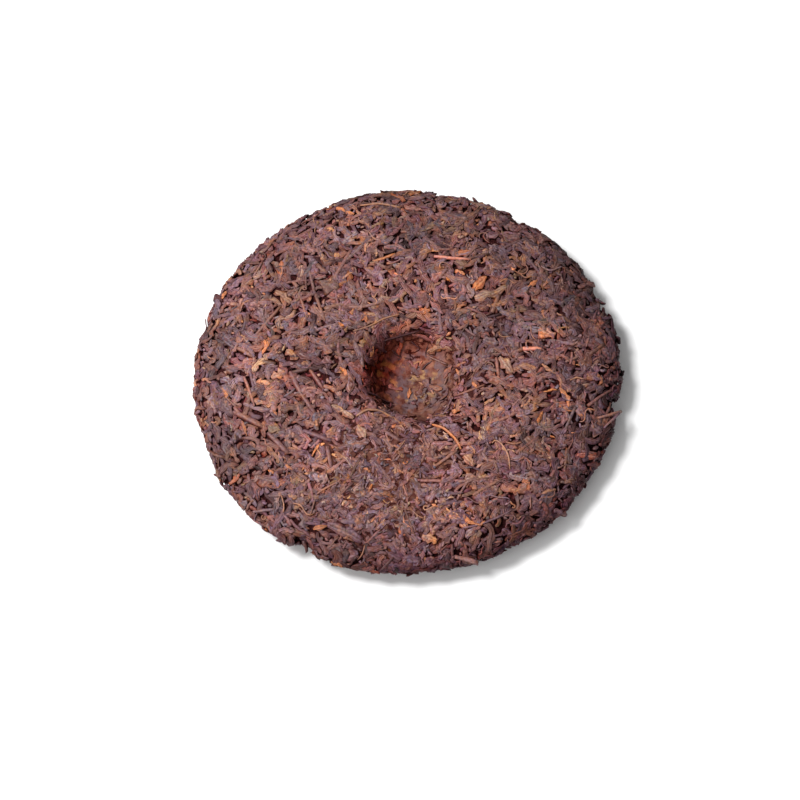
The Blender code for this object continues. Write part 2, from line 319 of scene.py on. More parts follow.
    def surface(self, arc: Array, angle: Array) -> Array:
        """Points of the smooth cake, the section turned round the axis and widened by the outline.

        Args:
            arc: Arc lengths from the back's centre.
            angle: Directions round the axis.

        Returns:
            Points, with a last axis of three.
        """
        arc = np.clip(arc, 0, self.last_arc)
        radius = np.interp(arc, self.arc, self.radii)
        height = np.interp(arc, self.arc, self.heights)
        radius = radius * (1 + (self.rim_share(angle) - 1) * (radius / self.radius) ** self.outline_fade)
        x = radius * np.cos(angle)
        y = radius * np.sin(angle)
        height = height - np.where(arc < self.rim_arc, self.pressed(x, y), 0.0)
        return np.stack([x, y, height], axis=-1)

    def chart_point(self, u: Array, v: Array, on_back: Array) -> Array:
        """The cake's points from a flat chart of its back or its face, whose radii are arc lengths."""
        reach = np.hypot(u, v)
        return self.surface(np.where(on_back, reach, self.last_arc - reach), np.arctan2(v, u))

    def chart_normal(self, u: Array, v: Array, on_back: Array) -> Array:
        """Outward normals by central differences in the chart.

        Args:
            u: First chart coordinates.
            v: Second chart coordinates.
            on_back: True where the chart is the back's.

        Returns:
            Unit normals.
        """
        along_u = self.chart_point(u + self.probe, v, on_back) - self.chart_point(u - self.probe, v, on_back)
        along_v = self.chart_point(u, v + self.probe, on_back) - self.chart_point(u, v - self.probe, on_back)
        normal = np.cross(along_u, along_v)
        normal = np.where(on_back[..., None], normal, -normal)
        return normal / np.maximum(np.linalg.norm(normal, axis=-1, keepdims=True), TINY)

    def back_arc(self, x: Array, y: Array) -> tuple[Array, Array]:
        """Arc length and height of the back over a place, undoing the outline's widening by iteration.

        Args:
            x: Positions across.
            y: Positions away.

        Returns:
            Arc lengths and heights; past the rim, the rim's.
        """
        there = np.hypot(x, y)
        share = self.rim_share(np.arctan2(y, x)) - 1
        radius = there
        for _ in range(self.narrowings):
            radius = there / (1 + share * np.minimum(radius / self.radius, 1) ** self.outline_fade)
        inside = np.minimum(radius, self.radius)
        arc = np.interp(inside, self.radii[: self.samples], self.arc[: self.samples])
        height = np.interp(arc, self.arc, self.heights) - self.pressed(x, y)
        return arc, np.where(radius > self.radius, -1.0, height)


# The camera


@dataclass(frozen=True)
class PhotoCamera:
    """The photograph's camera: it looks along +Y and down, at a point on the cake's axis."""

    elevation: float = math.radians(63.26)
    distance: float = 1.2
    target: Point = (0.0, 0.0, 0.012)
    focal_px: float = 2568.0
    target_px: Pixel = (407.3, 374.9)
    frame_px: float = 800.0
    sensor: float = 36.0
    near: float = 0.05
    ray_steps: int = 260
    headroom: float = 0.002

    def axes(self) -> tuple[Array, Array, Array]:
        """The camera's own directions, from its elevation.

        Returns:
            Its right, up and backward directions.
        """
        right = np.array([1.0, 0.0, 0.0])
        up = np.array([0.0, math.sin(self.elevation), math.cos(self.elevation)])
        back = np.array([0.0, -math.cos(self.elevation), math.sin(self.elevation)])
        return right, up, back

    def onto(self, form: CakeForm, pixels: Array) -> Array:
        """Chart coordinates of the back where the rays of pixels first meet the cake.

        Each ray runs from the eye through its pixel; the first of many even steps that lies under the
        back's height is taken.

        Args:
            form: The cake's form.
            pixels: Pixel coordinates, with a last axis of two.

        Returns:
            Chart coordinates, with a last axis of two.
        """
        right, up, back = self.axes()
        eye = np.array(self.target) + back * self.distance
        across = (pixels[..., 0] - self.target_px[0]) / self.focal_px
        upwards = (self.target_px[1] - pixels[..., 1]) / self.focal_px
        ray = across[..., None] * right + upwards[..., None] * up - back
        top = form.ring_height + self.headroom
        start = (top - eye[2]) / ray[..., 2]
        end = (form.rim_height - eye[2]) / ray[..., 2]
        steps = np.linspace(0, 1, self.ray_steps)
        reach = start[..., None] + (end - start)[..., None] * steps
        points = eye + reach[..., None] * ray[..., None, :]
        arc, height = form.back_arc(points[..., 0], points[..., 1])
        under = points[..., 2] <= height
        first = np.where(under.any(axis=-1), under.argmax(axis=-1), len(steps) - 1)
        arc = np.take_along_axis(arc, first[..., None], -1)[..., 0]
        hit = np.take_along_axis(points, first[..., None, None], -2)[..., 0, :]
        angle = np.arctan2(hit[..., 1], hit[..., 0])
        return np.stack([arc * np.cos(angle), arc * np.sin(angle)], axis=-1)

    def build(self) -> bpy.types.Object:
        """Makes the camera and sets it as the scene's.

        Returns:
            The camera object.
        """
        right, up, back = self.axes()
        data = bpy.data.cameras.new("photo_camera")
        data.sensor_width = self.sensor
        data.lens = self.focal_px / self.frame_px * self.sensor
        data.shift_x = 0.5 - self.target_px[0] / self.frame_px
        data.shift_y = self.target_px[1] / self.frame_px - 0.5
        data.clip_start = self.near
        camera = bpy.data.objects.new("photo_camera", data)
        bpy.context.scene.collection.objects.link(camera)
        place = Vector(self.target) + Vector(back) * self.distance
        turn = Matrix((right, up, back)).transposed().to_4x4()
        camera.matrix_world = Matrix.Translation(place) @ turn
        bpy.context.scene.camera = camera
        return camera


# Leaves as swept sections


class Kind(Enum):
    """What a piece of the tea is."""

    FILLER = "filler_leaves"
    ROLLED = "rolled_leaves"
    STEM = "stems"
    FLAKE = "flakes"
    BUD = "buds"
    THREAD = "threads"
    CRUMB = "crumbs"


class Tone(Enum):
    """Dry leaf colours, as linear base colours."""

    BLACK = (0.050, 0.014, 0.016)
    PLUM = (0.121, 0.057, 0.069)
    UMBER = (0.166, 0.072, 0.067)
    GREY = (0.170, 0.093, 0.101)
    SLATE = (0.139, 0.083, 0.099)
    RED = (0.188, 0.080, 0.061)
    STRAW = (0.255, 0.138, 0.098)
    TAN = (0.280, 0.130, 0.082)
    ORANGE = (0.360, 0.128, 0.058)
    PINK = (0.450, 0.165, 0.120)


@dataclass(frozen=True)
class Section:
    """A leaf's cross-section: points round it, across in half widths and up in half thicknesses."""

    across: tuple[float, ...]
    up: tuple[float, ...]


class Sections(Enum):
    """The cross-sections in use, each run the same way round."""

    PLAIN = Section((-1.0, -0.45, 0.55, 1.0, 0.05), (0.0, 1.0, 0.85, -0.1, -1.0))
    COARSE = Section((-1.0, -0.1, 1.0, 0.0), (0.0, 1.0, 0.0, -1.0))
    RIDGED = Section(
        (-1.0, -0.80, -0.52, -0.26, 0.02, 0.28, 0.54, 0.80, 1.0, 0.05),
        (-0.3, 0.75, 0.20, 0.95, 0.35, 1.0, 0.25, 0.80, -0.3, -1.0),
    )
    ROUND = Section((-1.0, -0.31, 0.81, 0.81, -0.31), (0.0, 0.95, 0.59, -0.59, -0.95))
    PLATE = Section(
        (-1.0, -0.76, -0.44, -0.12, 0.16, 0.46, 0.76, 1.0, 0.45, -0.45),
        (-0.2, 0.70, 0.25, 1.00, 0.45, 0.95, 0.40, -0.2, -1.0, -1.0),
    )


LEAF_ROWS = (
    "anchor", "on_back", "path", "lift", "half_width", "half_thick", "roll", "rough", "ragged", "crumple",
    "colour", "ground", "hero",
)


@dataclass(frozen=True)
class Texture:
    """How a leaf's surface departs from its smooth sweep, alike for every kind; lengths in millimetres.

    The creases are crease_waves sines, and their sum is divided by crease_calm. Roughness moves a point
    across by across_gain and up by up_gain times it, and each leaf's pattern is slid by up to
    pattern_shift along it and round it. Heights that the finish reads stay within depth_limits.
    """

    crease_waves: int = 3
    crease_pitch: Limits = (1.9, 4.5)
    crease_calm: float = 1.7
    across_gain: float = 0.5
    up_gain: float = 1.2
    pattern_shift: tuple[float, float] = (40, 17)
    depth_limits: Limits = (-4, 2)


TEXTURE = Texture()


@dataclass
class Leaves:
    """Many leaves of one kind, as arrays with one row for each leaf and one column for each station."""

    kind: Kind
    section: Section
    anchor: Array
    on_back: Array
    path: Array
    lift: Array
    half_width: Array
    half_thick: Array
    roll: Array
    rough: Array
    ragged: Array
    crumple: Array
    colour: Array
    ground: Array
    hero: Array

    def __len__(self) -> int:
        """The number of leaves."""
        return len(self.anchor)

    def only(self, mask: Array) -> "Leaves":
        """The leaves under a mask."""
        return replace(self, **{name: getattr(self, name)[mask] for name in LEAF_ROWS})

    def joined(self, other: "Leaves") -> "Leaves":
        """These leaves and more of the same kind."""
        both = {name: np.concatenate([getattr(self, name), getattr(other, name)]) for name in LEAF_ROWS}
        return replace(self, **both)

    def local_frame(self, form: CakeForm) -> tuple[Array, Array, Array]:
        """The chart directions at each anchor, and the matrix that turns true lengths to chart lengths.

        The matrix is the inverse square root of the metric G = J'J of the chart, where J holds the
        derivatives of the surface along the outward and the round direction.

        Args:
            form: The cake's form.

        Returns:
            The outward directions, the round directions, and the matrices.
        """
        reach = np.maximum(np.linalg.norm(self.anchor, axis=1), TINY)
        outward = self.anchor / reach[:, None]
        outward = np.where(self.on_back[:, None], outward, -outward)
        sense = np.where(self.on_back, 1.0, -1.0)[:, None]
        round_way = np.stack([-outward[:, 1], outward[:, 0]], axis=1) * sense
        sides = []
        for way in (outward, round_way):
            ahead = self.anchor + way * form.probe
            behind = self.anchor - way * form.probe
            difference = form.chart_point(ahead[:, 0], ahead[:, 1], self.on_back)
            difference = difference - form.chart_point(behind[:, 0], behind[:, 1], self.on_back)
            sides.append(difference / (2 * form.probe))
        jacobian = np.stack(sides, axis=2)
        metric = np.einsum("kij,kil->kjl", jacobian, jacobian)
        det = np.sqrt(np.maximum(np.linalg.det(metric), TINY))
        trace = np.sqrt(metric[:, 0, 0] + metric[:, 1, 1] + 2 * det)
        root = (metric + det[:, None, None] * np.eye(2)) / trace[:, None, None]
        return outward, round_way, np.linalg.inv(root)

    def place(self, form: CakeForm, local: Array, height: Array | None) -> Array:
        """Puts points of each leaf's own flat plane onto the cake.

        A point is the anchor plus its offset, scaled to chart lengths, then the surface there plus the
        height along the normal; under the cake it is pressed flat on the leaf's own ground level.

        Args:
            form: The cake's form.
            local: Offsets (outward, round) of each point, shaped (leaves, points, 2).
            height: Heights above the smooth surface, shaped (leaves, points), or None for points on it.

        Returns:
            Points, shaped (leaves, points, 3).
        """
        outward, round_way, scale = self.local_frame(form)
        chart = np.einsum("kij,knj->kni", scale, local)
        spot = self.anchor[:, None, :] + chart[..., :1] * outward[:, None, :]
        spot = spot + chart[..., 1:] * round_way[:, None, :]
        on_back = np.broadcast_to(self.on_back[:, None], spot.shape[:2])
        base = form.chart_point(spot[..., 0], spot[..., 1], on_back)
        if height is None:
            return base
        normal = form.chart_normal(spot[..., 0], spot[..., 1], on_back)
        points = base + normal * height[..., None]
        points[..., 2] = np.maximum(points[..., 2], self.ground[:, None])
        return points

    def sides(self) -> tuple[Array, Array]:
        """Directions along each path and across it, in the leaf's own plane.

        Returns:
            Unit tangents and unit side vectors, shaped (leaves, stations, 2).
        """
        tangent = np.gradient(self.path, axis=1)
        tangent = tangent / np.maximum(np.linalg.norm(tangent, axis=2, keepdims=True), TINY)
        return tangent, np.stack([-tangent[..., 1], tangent[..., 0]], axis=2)

    def samples(
        self, form: CakeForm, along: int = 26, across: int = 7, breadth: float = 0.85
    ) -> tuple[Array, Array]:
        """Points of the smooth surface under each leaf's top, and the heights of the top there.

        The path, lift and half sizes are read between stations at even shares of the way, and the top
        falls towards the sides as 1 - share^4.

        Args:
            form: The cake's form.
            along: How many samples along the leaf.
            across: How many across it.
            breadth: How far they reach to either side, as a share of the half width.

        Returns:
            Points shaped (leaves, samples, 3) and heights shaped (leaves, samples).
        """
        stations = self.lift.shape[1]
        at = np.linspace(0, stations - 1, along)
        first = np.minimum(at.astype(int), stations - 2)
        rest = at - first
        _, side = self.sides()

        def between(values: Array) -> Array:
            """Reads an array of stations between them, by straight lines."""
            blend = rest.reshape(1, -1, *([1] * (values.ndim - 2)))
            return values[:, first] * (1 - blend) + values[:, first + 1] * blend

        share = np.linspace(-breadth, breadth, across)
        reach = between(self.half_width)[..., None] * share
        spots = between(self.path)[:, :, None, :] + between(side)[:, :, None, :] * reach[..., None]
        tops = between(self.lift)[..., None] + between(self.half_thick)[..., None] * (1 - share**4)
        flat = (len(self), along * across)
        return self.place(form, spots.reshape(*flat, 2), None), tops.reshape(flat)

    def creases(self, along: Array, across: Array, rng: Random) -> Array:
        """Crumples each leaf: a sum of sine waves that cross it in directions of its own.

        Args:
            along: Distances along the leaf.
            across: Distances across it.
            rng: The seeded generator of the waves.

        Returns:
            Heights to add, of both faces of the leaf alike.
        """
        total = np.zeros_like(along)
        for _ in range(TEXTURE.crease_waves):
            way = rng.uniform(0, math.pi, (len(along), 1, 1))
            pitch = rng.uniform(*TEXTURE.crease_pitch, (len(along), 1, 1)) * MM
            phase = rng.uniform(0, 2 * math.pi, (len(along), 1, 1))
            reach = along * np.cos(way) + across * np.sin(way)
            total = total + np.sin(2 * math.pi * reach / pitch + phase)
        return self.crumple[:, None, None] * total / TEXTURE.crease_calm

    def mesh_arrays(self, form: CakeForm, rng: Random) -> dict[str, Array]:
        """Sweeps the section along every path at once.

        At each station the section is scaled to the half width and half thickness, torn at either side
        by a factor of its own, and roughened, once for each leaf and again point by point, then rolled
        about the path, creased, and put across the path at the station's lift.

        Args:
            form: The cake's form.
            rng: The seeded generator of the roughness.

        Returns:
            Vertices, quads, caps, and for each vertex its colour, its pattern coordinates along and
            round the leaf, its place up the section from 0 to 1, and its height in millimetres.
        """
        count, stations = self.lift.shape
        across = np.array(self.section.across)
        up = np.array(self.section.up)
        points = len(across)
        _, side = self.sides()
        step = np.linalg.norm(np.diff(self.path, axis=1), axis=2)
        along = np.concatenate([np.zeros((count, 1)), np.cumsum(step, axis=1)], axis=1)
        rough = self.rough[:, None, None]
        own = rng.standard_normal((2, count, 1, points))
        local = rng.standard_normal((2, count, stations, points))
        torn = 1 + self.ragged[:, None, None] * rng.standard_normal((count, stations, 2))
        edge = np.where(across < 0, torn[..., :1], torn[..., 1:])
        a = across * self.half_width[..., None] * edge
        a = a * (1 + TEXTURE.across_gain * rough * (own[0] + local[0]))
        u = up * self.half_thick[..., None] * (1 + TEXTURE.up_gain * rough * (own[1] + local[1]))
        turn = self.roll[..., None]
        a, u = a * np.cos(turn) - u * np.sin(turn), a * np.sin(turn) + u * np.cos(turn)
        u = u + self.creases(along[..., None] + np.zeros_like(a), a, rng)
        spots = self.path[:, :, None, :] + side[:, :, None, :] * a[..., None]
        height = self.lift[..., None] + u
        flat = (count, stations * points)
        placed = self.place(form, spots.reshape(*flat, 2), height.reshape(flat))
        offset = rng.uniform(0, 1, (count, 1))
        along_shift, girth_shift = (shift * offset for shift in TEXTURE.pattern_shift)
        along = np.broadcast_to((along / MM + along_shift)[..., None], (count, stations, points))
        girth = across * (self.half_width[..., None] / MM) + girth_shift[..., None]
        crest = np.broadcast_to((up + 1) / 2, along.shape)
        return {
            "verts": placed.reshape(-1, 3),
            **self.faces(),
            "colour": np.repeat(self.colour, stations * points, axis=0),
            "uv": np.stack([along, girth], axis=-1).reshape(-1, 2),
            "crest": crest.reshape(-1),
            "depth": np.clip(height.reshape(-1) / MM, *TEXTURE.depth_limits),
        }

    def faces(self) -> dict[str, Array]:
        """The faces of the swept leaves: quads between the rings of points, and a cap at either end.

        Returns:
            The vertex indices of the quads and of the caps.
        """
        count, stations = self.lift.shape
        points = len(self.section.across)
        ring = np.arange(points)
        after = (ring + 1) % points
        station = np.arange(stations - 1)[:, None] * points
        corners = (station + ring, station + points + ring, station + points + after, station + after)
        first = np.arange(count)[:, None, None] * stations * points
        quads = first + np.stack(corners, axis=-1).reshape(1, -1, 4)
        caps = first + np.stack([ring, (stations - 1) * points + ring[::-1]])
        return {"quads": quads.reshape(-1, 4), "caps": caps.reshape(-1, points)}


def triangles_each(section: Section, stations: int) -> int:
    """Triangles of a swept leaf of so many stations: two for each quad, and a fan in each cap."""
    points = len(section.across)
    return 2 * points * (stations - 1) + 2 * (points - 2)


# How leaves are thrown


@dataclass(frozen=True)
class Bed:
    """The places of a throw of leaves, one row each, and how far the tea there is pressed and mashed."""

    arc: Array
    angle: Array
    spot: Array
    pressed: Array
    mashed: Array

    @staticmethod
    def at(form: CakeForm, arc: Array, angle: Array) -> "Bed":
        """The bed at given places.

        Args:
            form: The cake's form.
            arc: Arc lengths from the back's centre.
            angle: Directions round the axis.

        Returns:
            The bed.
        """
        spot = form.surface(arc, angle)
        pressed = np.where(arc < form.rim_arc, form.pressed(spot[:, 0], spot[:, 1]) / form.hollow_depth, 0)
        return Bed(arc, angle, spot, pressed, form.mashed(spot))

    def only(self, rows: Array) -> "Bed":
        """The bed of some of the rows."""
        return Bed(self.arc[rows], self.angle[rows], self.spot[rows], self.pressed[rows], self.mashed[rows])

    def __len__(self) -> int:
        """The number of places."""
        return len(self.arc)


@dataclass(frozen=True)
class Grain:
    """Which way the leaves point: most follow a grain, some stray, and near the rim some run round it."""

    waves: int = 3
    wavelength_mm: Limits = (26.0, 55.0)
    swing: float = 1.6
    spread: float = 0.55
    stray_share: float = 0.4
    rim_band: float = 0.014
    rim_share: float = 0.35
    rim_spread: float = 0.4

    def headings(self, bed: Bed, form: CakeForm, rng: Random) -> Array:
        """Each leaf's angle against the outward direction at its place.

        The grain turns slowly over the cake: it is the sum of three sines of the place, with a normal
        spread. Strays point anywhere.

        Args:
            bed: The leaves' places.
            form: The cake's form.
            rng: The seeded generator.

        Returns:
            Angles, one for each leaf.
        """
        number = len(bed)
        grain_rng = np.random.default_rng(SEED)
        grain = np.zeros(number)
        for _ in range(self.waves):
            way = grain_rng.normal(0, 1, 3)
            way = way / np.linalg.norm(way) * 2 * math.pi / (grain_rng.uniform(*self.wavelength_mm) * MM)
            grain = grain + self.swing * np.sin(bed.spot @ way + grain_rng.uniform(0, 2 * math.pi))
        heading = grain + rng.normal(0, self.spread, number)
        stray = rng.random(number) < self.stray_share
        heading = np.where(stray, rng.uniform(0, 2 * math.pi, number), heading)
        at_rim = np.abs(bed.arc - form.rim_arc) < self.rim_band
        round_it = math.pi / 2 + rng.normal(0, self.rim_spread, number)
        return np.where(at_rim & (rng.random(number) < self.rim_share), round_it, heading)


@dataclass(frozen=True)
class Pressing:
    """What the press, the knot and the mashing did to the leaves, alike for every kind.

    How much shorter, thinner and less crumpled they are is given for the hollow and for the mash, in that
    order. Other pairs are the limits of a random draw, in millimetres where the name ends in mm.
    """

    rarer_in_hollow: float = 1.5
    shorter: tuple[float, float] = (0.35, 0.22)
    thinner: tuple[float, float] = (0.6, 0.3)
    less_crumpled: tuple[float, float] = (0.6, 0.4)
    calmer: float = 0.8
    calm_mash: float = 0.7
    flush_mash: float = 0.55
    tip_thick: float = 0.55
    body_thick: float = 0.45
    pulses: Limits = (0.6, 2.2)
    flush_mm: Limits = (-0.45, 0.0)
    rim_band: float = 0.014
    loose: Limits = (-1.0, 0.6)
    crumbled: Limits = (0.75, 1.0)
    waver: float = 0.10 * MM
    dips: Limits = (0.1, 1.0)
    dip_power: float = 2.5
    lowest_end: float = -0.3
    face_reach: float = 0.085
    table_mm: float = 0.05
    highest_mm: float = 0.75
    edge_lift: float = 0.45 * MM
    steepest: float = 0.6

    def left(self, taken: tuple[float, float], bed: Bed) -> Array:
        """What is left where hollow and mash each take a share: (1 - a * pressed) * (1 - b * mashed)."""
        return (1 - taken[0] * bed.pressed) * (1 - taken[1] * bed.mashed)

    def half_thick(self, thickest: Array, body: Array) -> Array:
        """The half thickness where the width is a share, body, of its full one: tips thin less."""
        return thickest * (self.tip_thick + self.body_thick * body)


GRAIN = Grain()
PRESSING = Pressing()


def drawn(limits: Limits, number: int, rng: Random) -> Array:
    """Draws so many values between two limits, evenly on a logarithmic scale."""
    return np.exp(rng.uniform(math.log(limits[0]), math.log(limits[1]), number))


@dataclass(frozen=True)
class Litter:
    """How one kind of piece lies in the cake: sizes, curves, the level of its top, and colours."""

    kind: Kind
    section: Sections
    count: int
    stations: int
    length: Limits
    width: Limits
    thickness: Limits
    top: Limits
    bend: float
    wave: float
    twist: float
    taper: Limits
    fullness: float
    rough: float
    ragged: float
    crumple: float
    dip: float
    tones: tuple[tuple[Tone, float], ...]
    hollow_share: float = 1.0
    mash_share: float = 1.0
    rim_lift: float = 0.0
    loose: float = 0.0
    shade_spread: float = 0.28
    hue_spread: float = 0.05
    hollow_warmth: Colour = (1.02, 0.90, 0.80)
    lightest: float = 0.9

    @property
    def way(self) -> Array:
        """The stations' shares of the way along a leaf."""
        return np.linspace(0, 1, self.stations)

    def bed(self, form: CakeForm, rng: Random) -> Bed:
        """Draws the leaves' places at random over the cake's area, rarer or denser in hollow and mash.

        Args:
            form: The cake's form.
            rng: The seeded generator.

        Returns:
            The bed of the leaves.
        """
        arc = np.interp(rng.random(self.count * 4), form.area, form.arc)
        angle = rng.uniform(-math.pi, math.pi, len(arc))
        bed = Bed.at(form, arc, angle)
        chance = 1 - (1 - self.hollow_share) * np.minimum(PRESSING.rarer_in_hollow * bed.pressed, 1)
        chance = chance * (1 + (self.mash_share - 1) * bed.mashed) / max(self.mash_share, 1)
        return bed.only(np.flatnonzero(rng.random(len(arc)) < chance)[: self.count])

    def paths(self, bed: Bed, length: Array, form: CakeForm, rng: Random) -> Array:
        """Draws each leaf's path, in its own plane and centred.

        Its heading is its first heading plus bend times the share of the way plus wave times a sine of
        it, and the path is the running sum of the heading's cosine and sine.

        Args:
            bed: The leaves' places.
            length: The leaves' lengths.
            form: The cake's form.
            rng: The seeded generator.

        Returns:
            Paths, shaped (leaves, stations, 2).
        """
        bend = rng.normal(0, self.bend, (len(bed), 1))
        wave = rng.normal(0, self.wave, (len(bed), 1))
        phase = rng.uniform(0, 2 * math.pi, (len(bed), 1))
        heading = GRAIN.headings(bed, form, rng)[:, None]
        heading = heading + bend * (self.way - 0.5) + wave * np.sin(2 * math.pi * self.way + phase)
        stride = (length / (self.stations - 1))[:, None, None]
        path = np.cumsum(np.stack([np.cos(heading), np.sin(heading)], axis=2) * stride, axis=1)
        return path - path.mean(axis=1, keepdims=True)

    def outlines(self, number: int, rng: Random) -> Array:
        """Draws each leaf's width along it, as a share of its full width.

        It falls from the middle to a tip of its own at either end as 1 - e^fullness, where e is the
        distance from the middle in half lengths, and swells and narrows with a sine.

        Args:
            number: How many leaves.
            rng: The seeded generator.

        Returns:
            Shares, shaped (leaves, stations).
        """
        tip = rng.uniform(*self.taper, (number, 2))
        near = np.where(self.way[None, :] < 0.5, tip[:, :1], tip[:, 1:])
        body = near + (1 - near) * np.maximum(1 - np.abs(2 * self.way - 1) ** self.fullness, 0)
        pulses = rng.uniform(*PRESSING.pulses, (number, 1)) * 2 * math.pi
        pulse = pulses * self.way + rng.uniform(0, 2 * math.pi, (number, 1))
        return body * (1 + self.ragged * np.sin(pulse))

    def lifts(self, bed: Bed, half_thick: Array, form: CakeForm, rng: Random) -> Array:
        """Draws the level of each leaf's middle at its stations.

        The pressing left the tops at nearly one level, so the middle lies at the top's level less half
        the thickness. The top is flush in the hollow and the mash, deeper where the rim has crumbled
        and looser round the rim. The leaf wavers, dips to its ends, and at the rim one end may stand up.

        Args:
            bed: The leaves' places.
            half_thick: Half thicknesses, shaped (leaves, stations).
            form: The cake's form.
            rng: The seeded generator.

        Returns:
            Levels, shaped (leaves, stations).
        """
        press = PRESSING
        number = len(bed)
        flush = rng.uniform(*press.flush_mm, (number, 1)) * MM
        top = rng.uniform(*self.top, (number, 1))
        rim = np.exp(-(((bed.arc - form.rim_arc) / press.rim_band) ** 2))
        top = top + self.loose * (rim * rng.uniform(*press.loose, number))[:, None]
        top = top - (form.crumbled(bed.spot) * rng.uniform(*press.crumbled, number))[:, None]
        even = np.maximum(bed.pressed, press.flush_mash * bed.mashed)[:, None]
        lift = top + (flush - top) * even - half_thick
        calm = 1 - press.calmer * np.maximum(bed.pressed, press.calm_mash * bed.mashed)[:, None]
        lift = lift + press.waver * calm * rng.standard_normal((number, self.stations))
        ends = np.abs(2 * self.way - 1)
        lift = lift - self.dip * calm * rng.uniform(*press.dips, (number, 1)) * ends**press.dip_power
        tilt = rng.uniform(-1, 1, (number, 1)) * (2 * self.way - 1)
        stand = (self.rim_lift * rim * rng.random(number))[:, None]
        return lift + stand * np.maximum(tilt, press.lowest_end)

    def throw(self, form: CakeForm, rng: Random) -> Leaves:
        """Throws the leaves at random over the cake's area.

        Lengths, widths and thicknesses are drawn between their limits on a logarithmic scale. A leaf
        under the cake is pressed flat on a ground level of its own, and each is rolled about its path
        by up to what lifts its edge by edge_lift, and twisted along it.

        Args:
            form: The cake's form.
            rng: The seeded generator.

        Returns:
            The leaves.
        """
        press = PRESSING
        bed = self.bed(form, rng)
        number = len(bed)
        on_back = bed.arc <= form.rim_arc
        reach = np.where(on_back, bed.arc, form.last_arc - bed.arc)
        small = press.left(press.shorter, bed)
        length = drawn(self.length, number, rng) * small
        width = drawn(self.width, number, rng) * small
        thickness = np.minimum(drawn(self.thickness, number, rng), width) * press.left(press.thinner, bed)
        path = self.paths(bed, length, form, rng)
        body = self.outlines(number, rng)
        half_width = body * width[:, None] / 2
        half_thick = press.half_thick(np.minimum(thickness[:, None] / 2, half_width), body)
        lift = self.lifts(bed, half_thick, form, rng)
        under = bed.arc > form.last_arc - press.face_reach
        ground = np.where(under, rng.uniform(press.table_mm, press.highest_mm, number), press.table_mm) * MM
        steep = np.minimum(press.edge_lift / half_width.max(axis=1, keepdims=True), press.steepest)
        tipped = rng.uniform(-1, 1, (number, 1)) * steep
        return Leaves(
            kind=self.kind,
            section=self.section.value,
            anchor=np.stack([reach * np.cos(bed.angle), reach * np.sin(bed.angle)], axis=1),
            on_back=on_back,
            path=path,
            lift=lift,
            half_width=half_width,
            half_thick=half_thick,
            roll=tipped + rng.normal(0, self.twist, (number, 1)) * (self.way - 0.5),
            rough=np.full(number, self.rough),
            ragged=np.full(number, self.ragged),
            crumple=self.crumple * press.left(press.less_crumpled, bed),
            colour=self.colours(bed, form, rng),
            ground=ground,
            hero=np.zeros(number, bool),
        )

    def colours(self, bed: Bed, form: CakeForm, rng: Random) -> Array:
        """Draws each leaf's colour from the kind's tones.

        It is jittered in shade and hue, a little warmer in the hollow, and given the form's painted light
        and shade.

        Args:
            bed: The leaves' places.
            form: The cake's form.
            rng: The seeded generator.

        Returns:
            Linear colours, one row for each leaf.
        """
        number = len(bed)
        weights = np.array([weight for _, weight in self.tones])
        palette = np.array([tone.value for tone, _ in self.tones])
        picked = palette[rng.choice(len(palette), number, p=weights / weights.sum())]
        shade = np.exp(np.minimum(rng.normal(0, self.shade_spread, (number, 1)), self.shade_spread))
        hue = np.exp(rng.normal(0, self.hue_spread, (number, 3)))
        warm = 1 + bed.pressed[:, None] * (np.array(self.hollow_warmth) - 1)
        # The form's painted light and shade darkens or lightens each leaf by where it lies
        return np.clip(picked * shade * hue * warm * form.painted_light_and_shade(bed.spot), 0, self.lightest)


# Leaves that the photograph singles out


@dataclass(frozen=True)
class Landmark:
    """A leaf that the photograph singles out: its tone, width and path in the photograph's pixels.

    The path gives x and y in turn. The leaf's top lies at the level top, and its last end stands out of
    the cake by stand. Both and the width are in millimetres.
    """

    tone: Tone
    width: float
    path: tuple[float, ...]
    top: float
    stand: float = 0.0


def marks(*rows: tuple) -> tuple[Landmark, ...]:
    """The landmarks of plain rows, each with a landmark's values in their order."""
    return tuple(Landmark(*row) for row in rows)


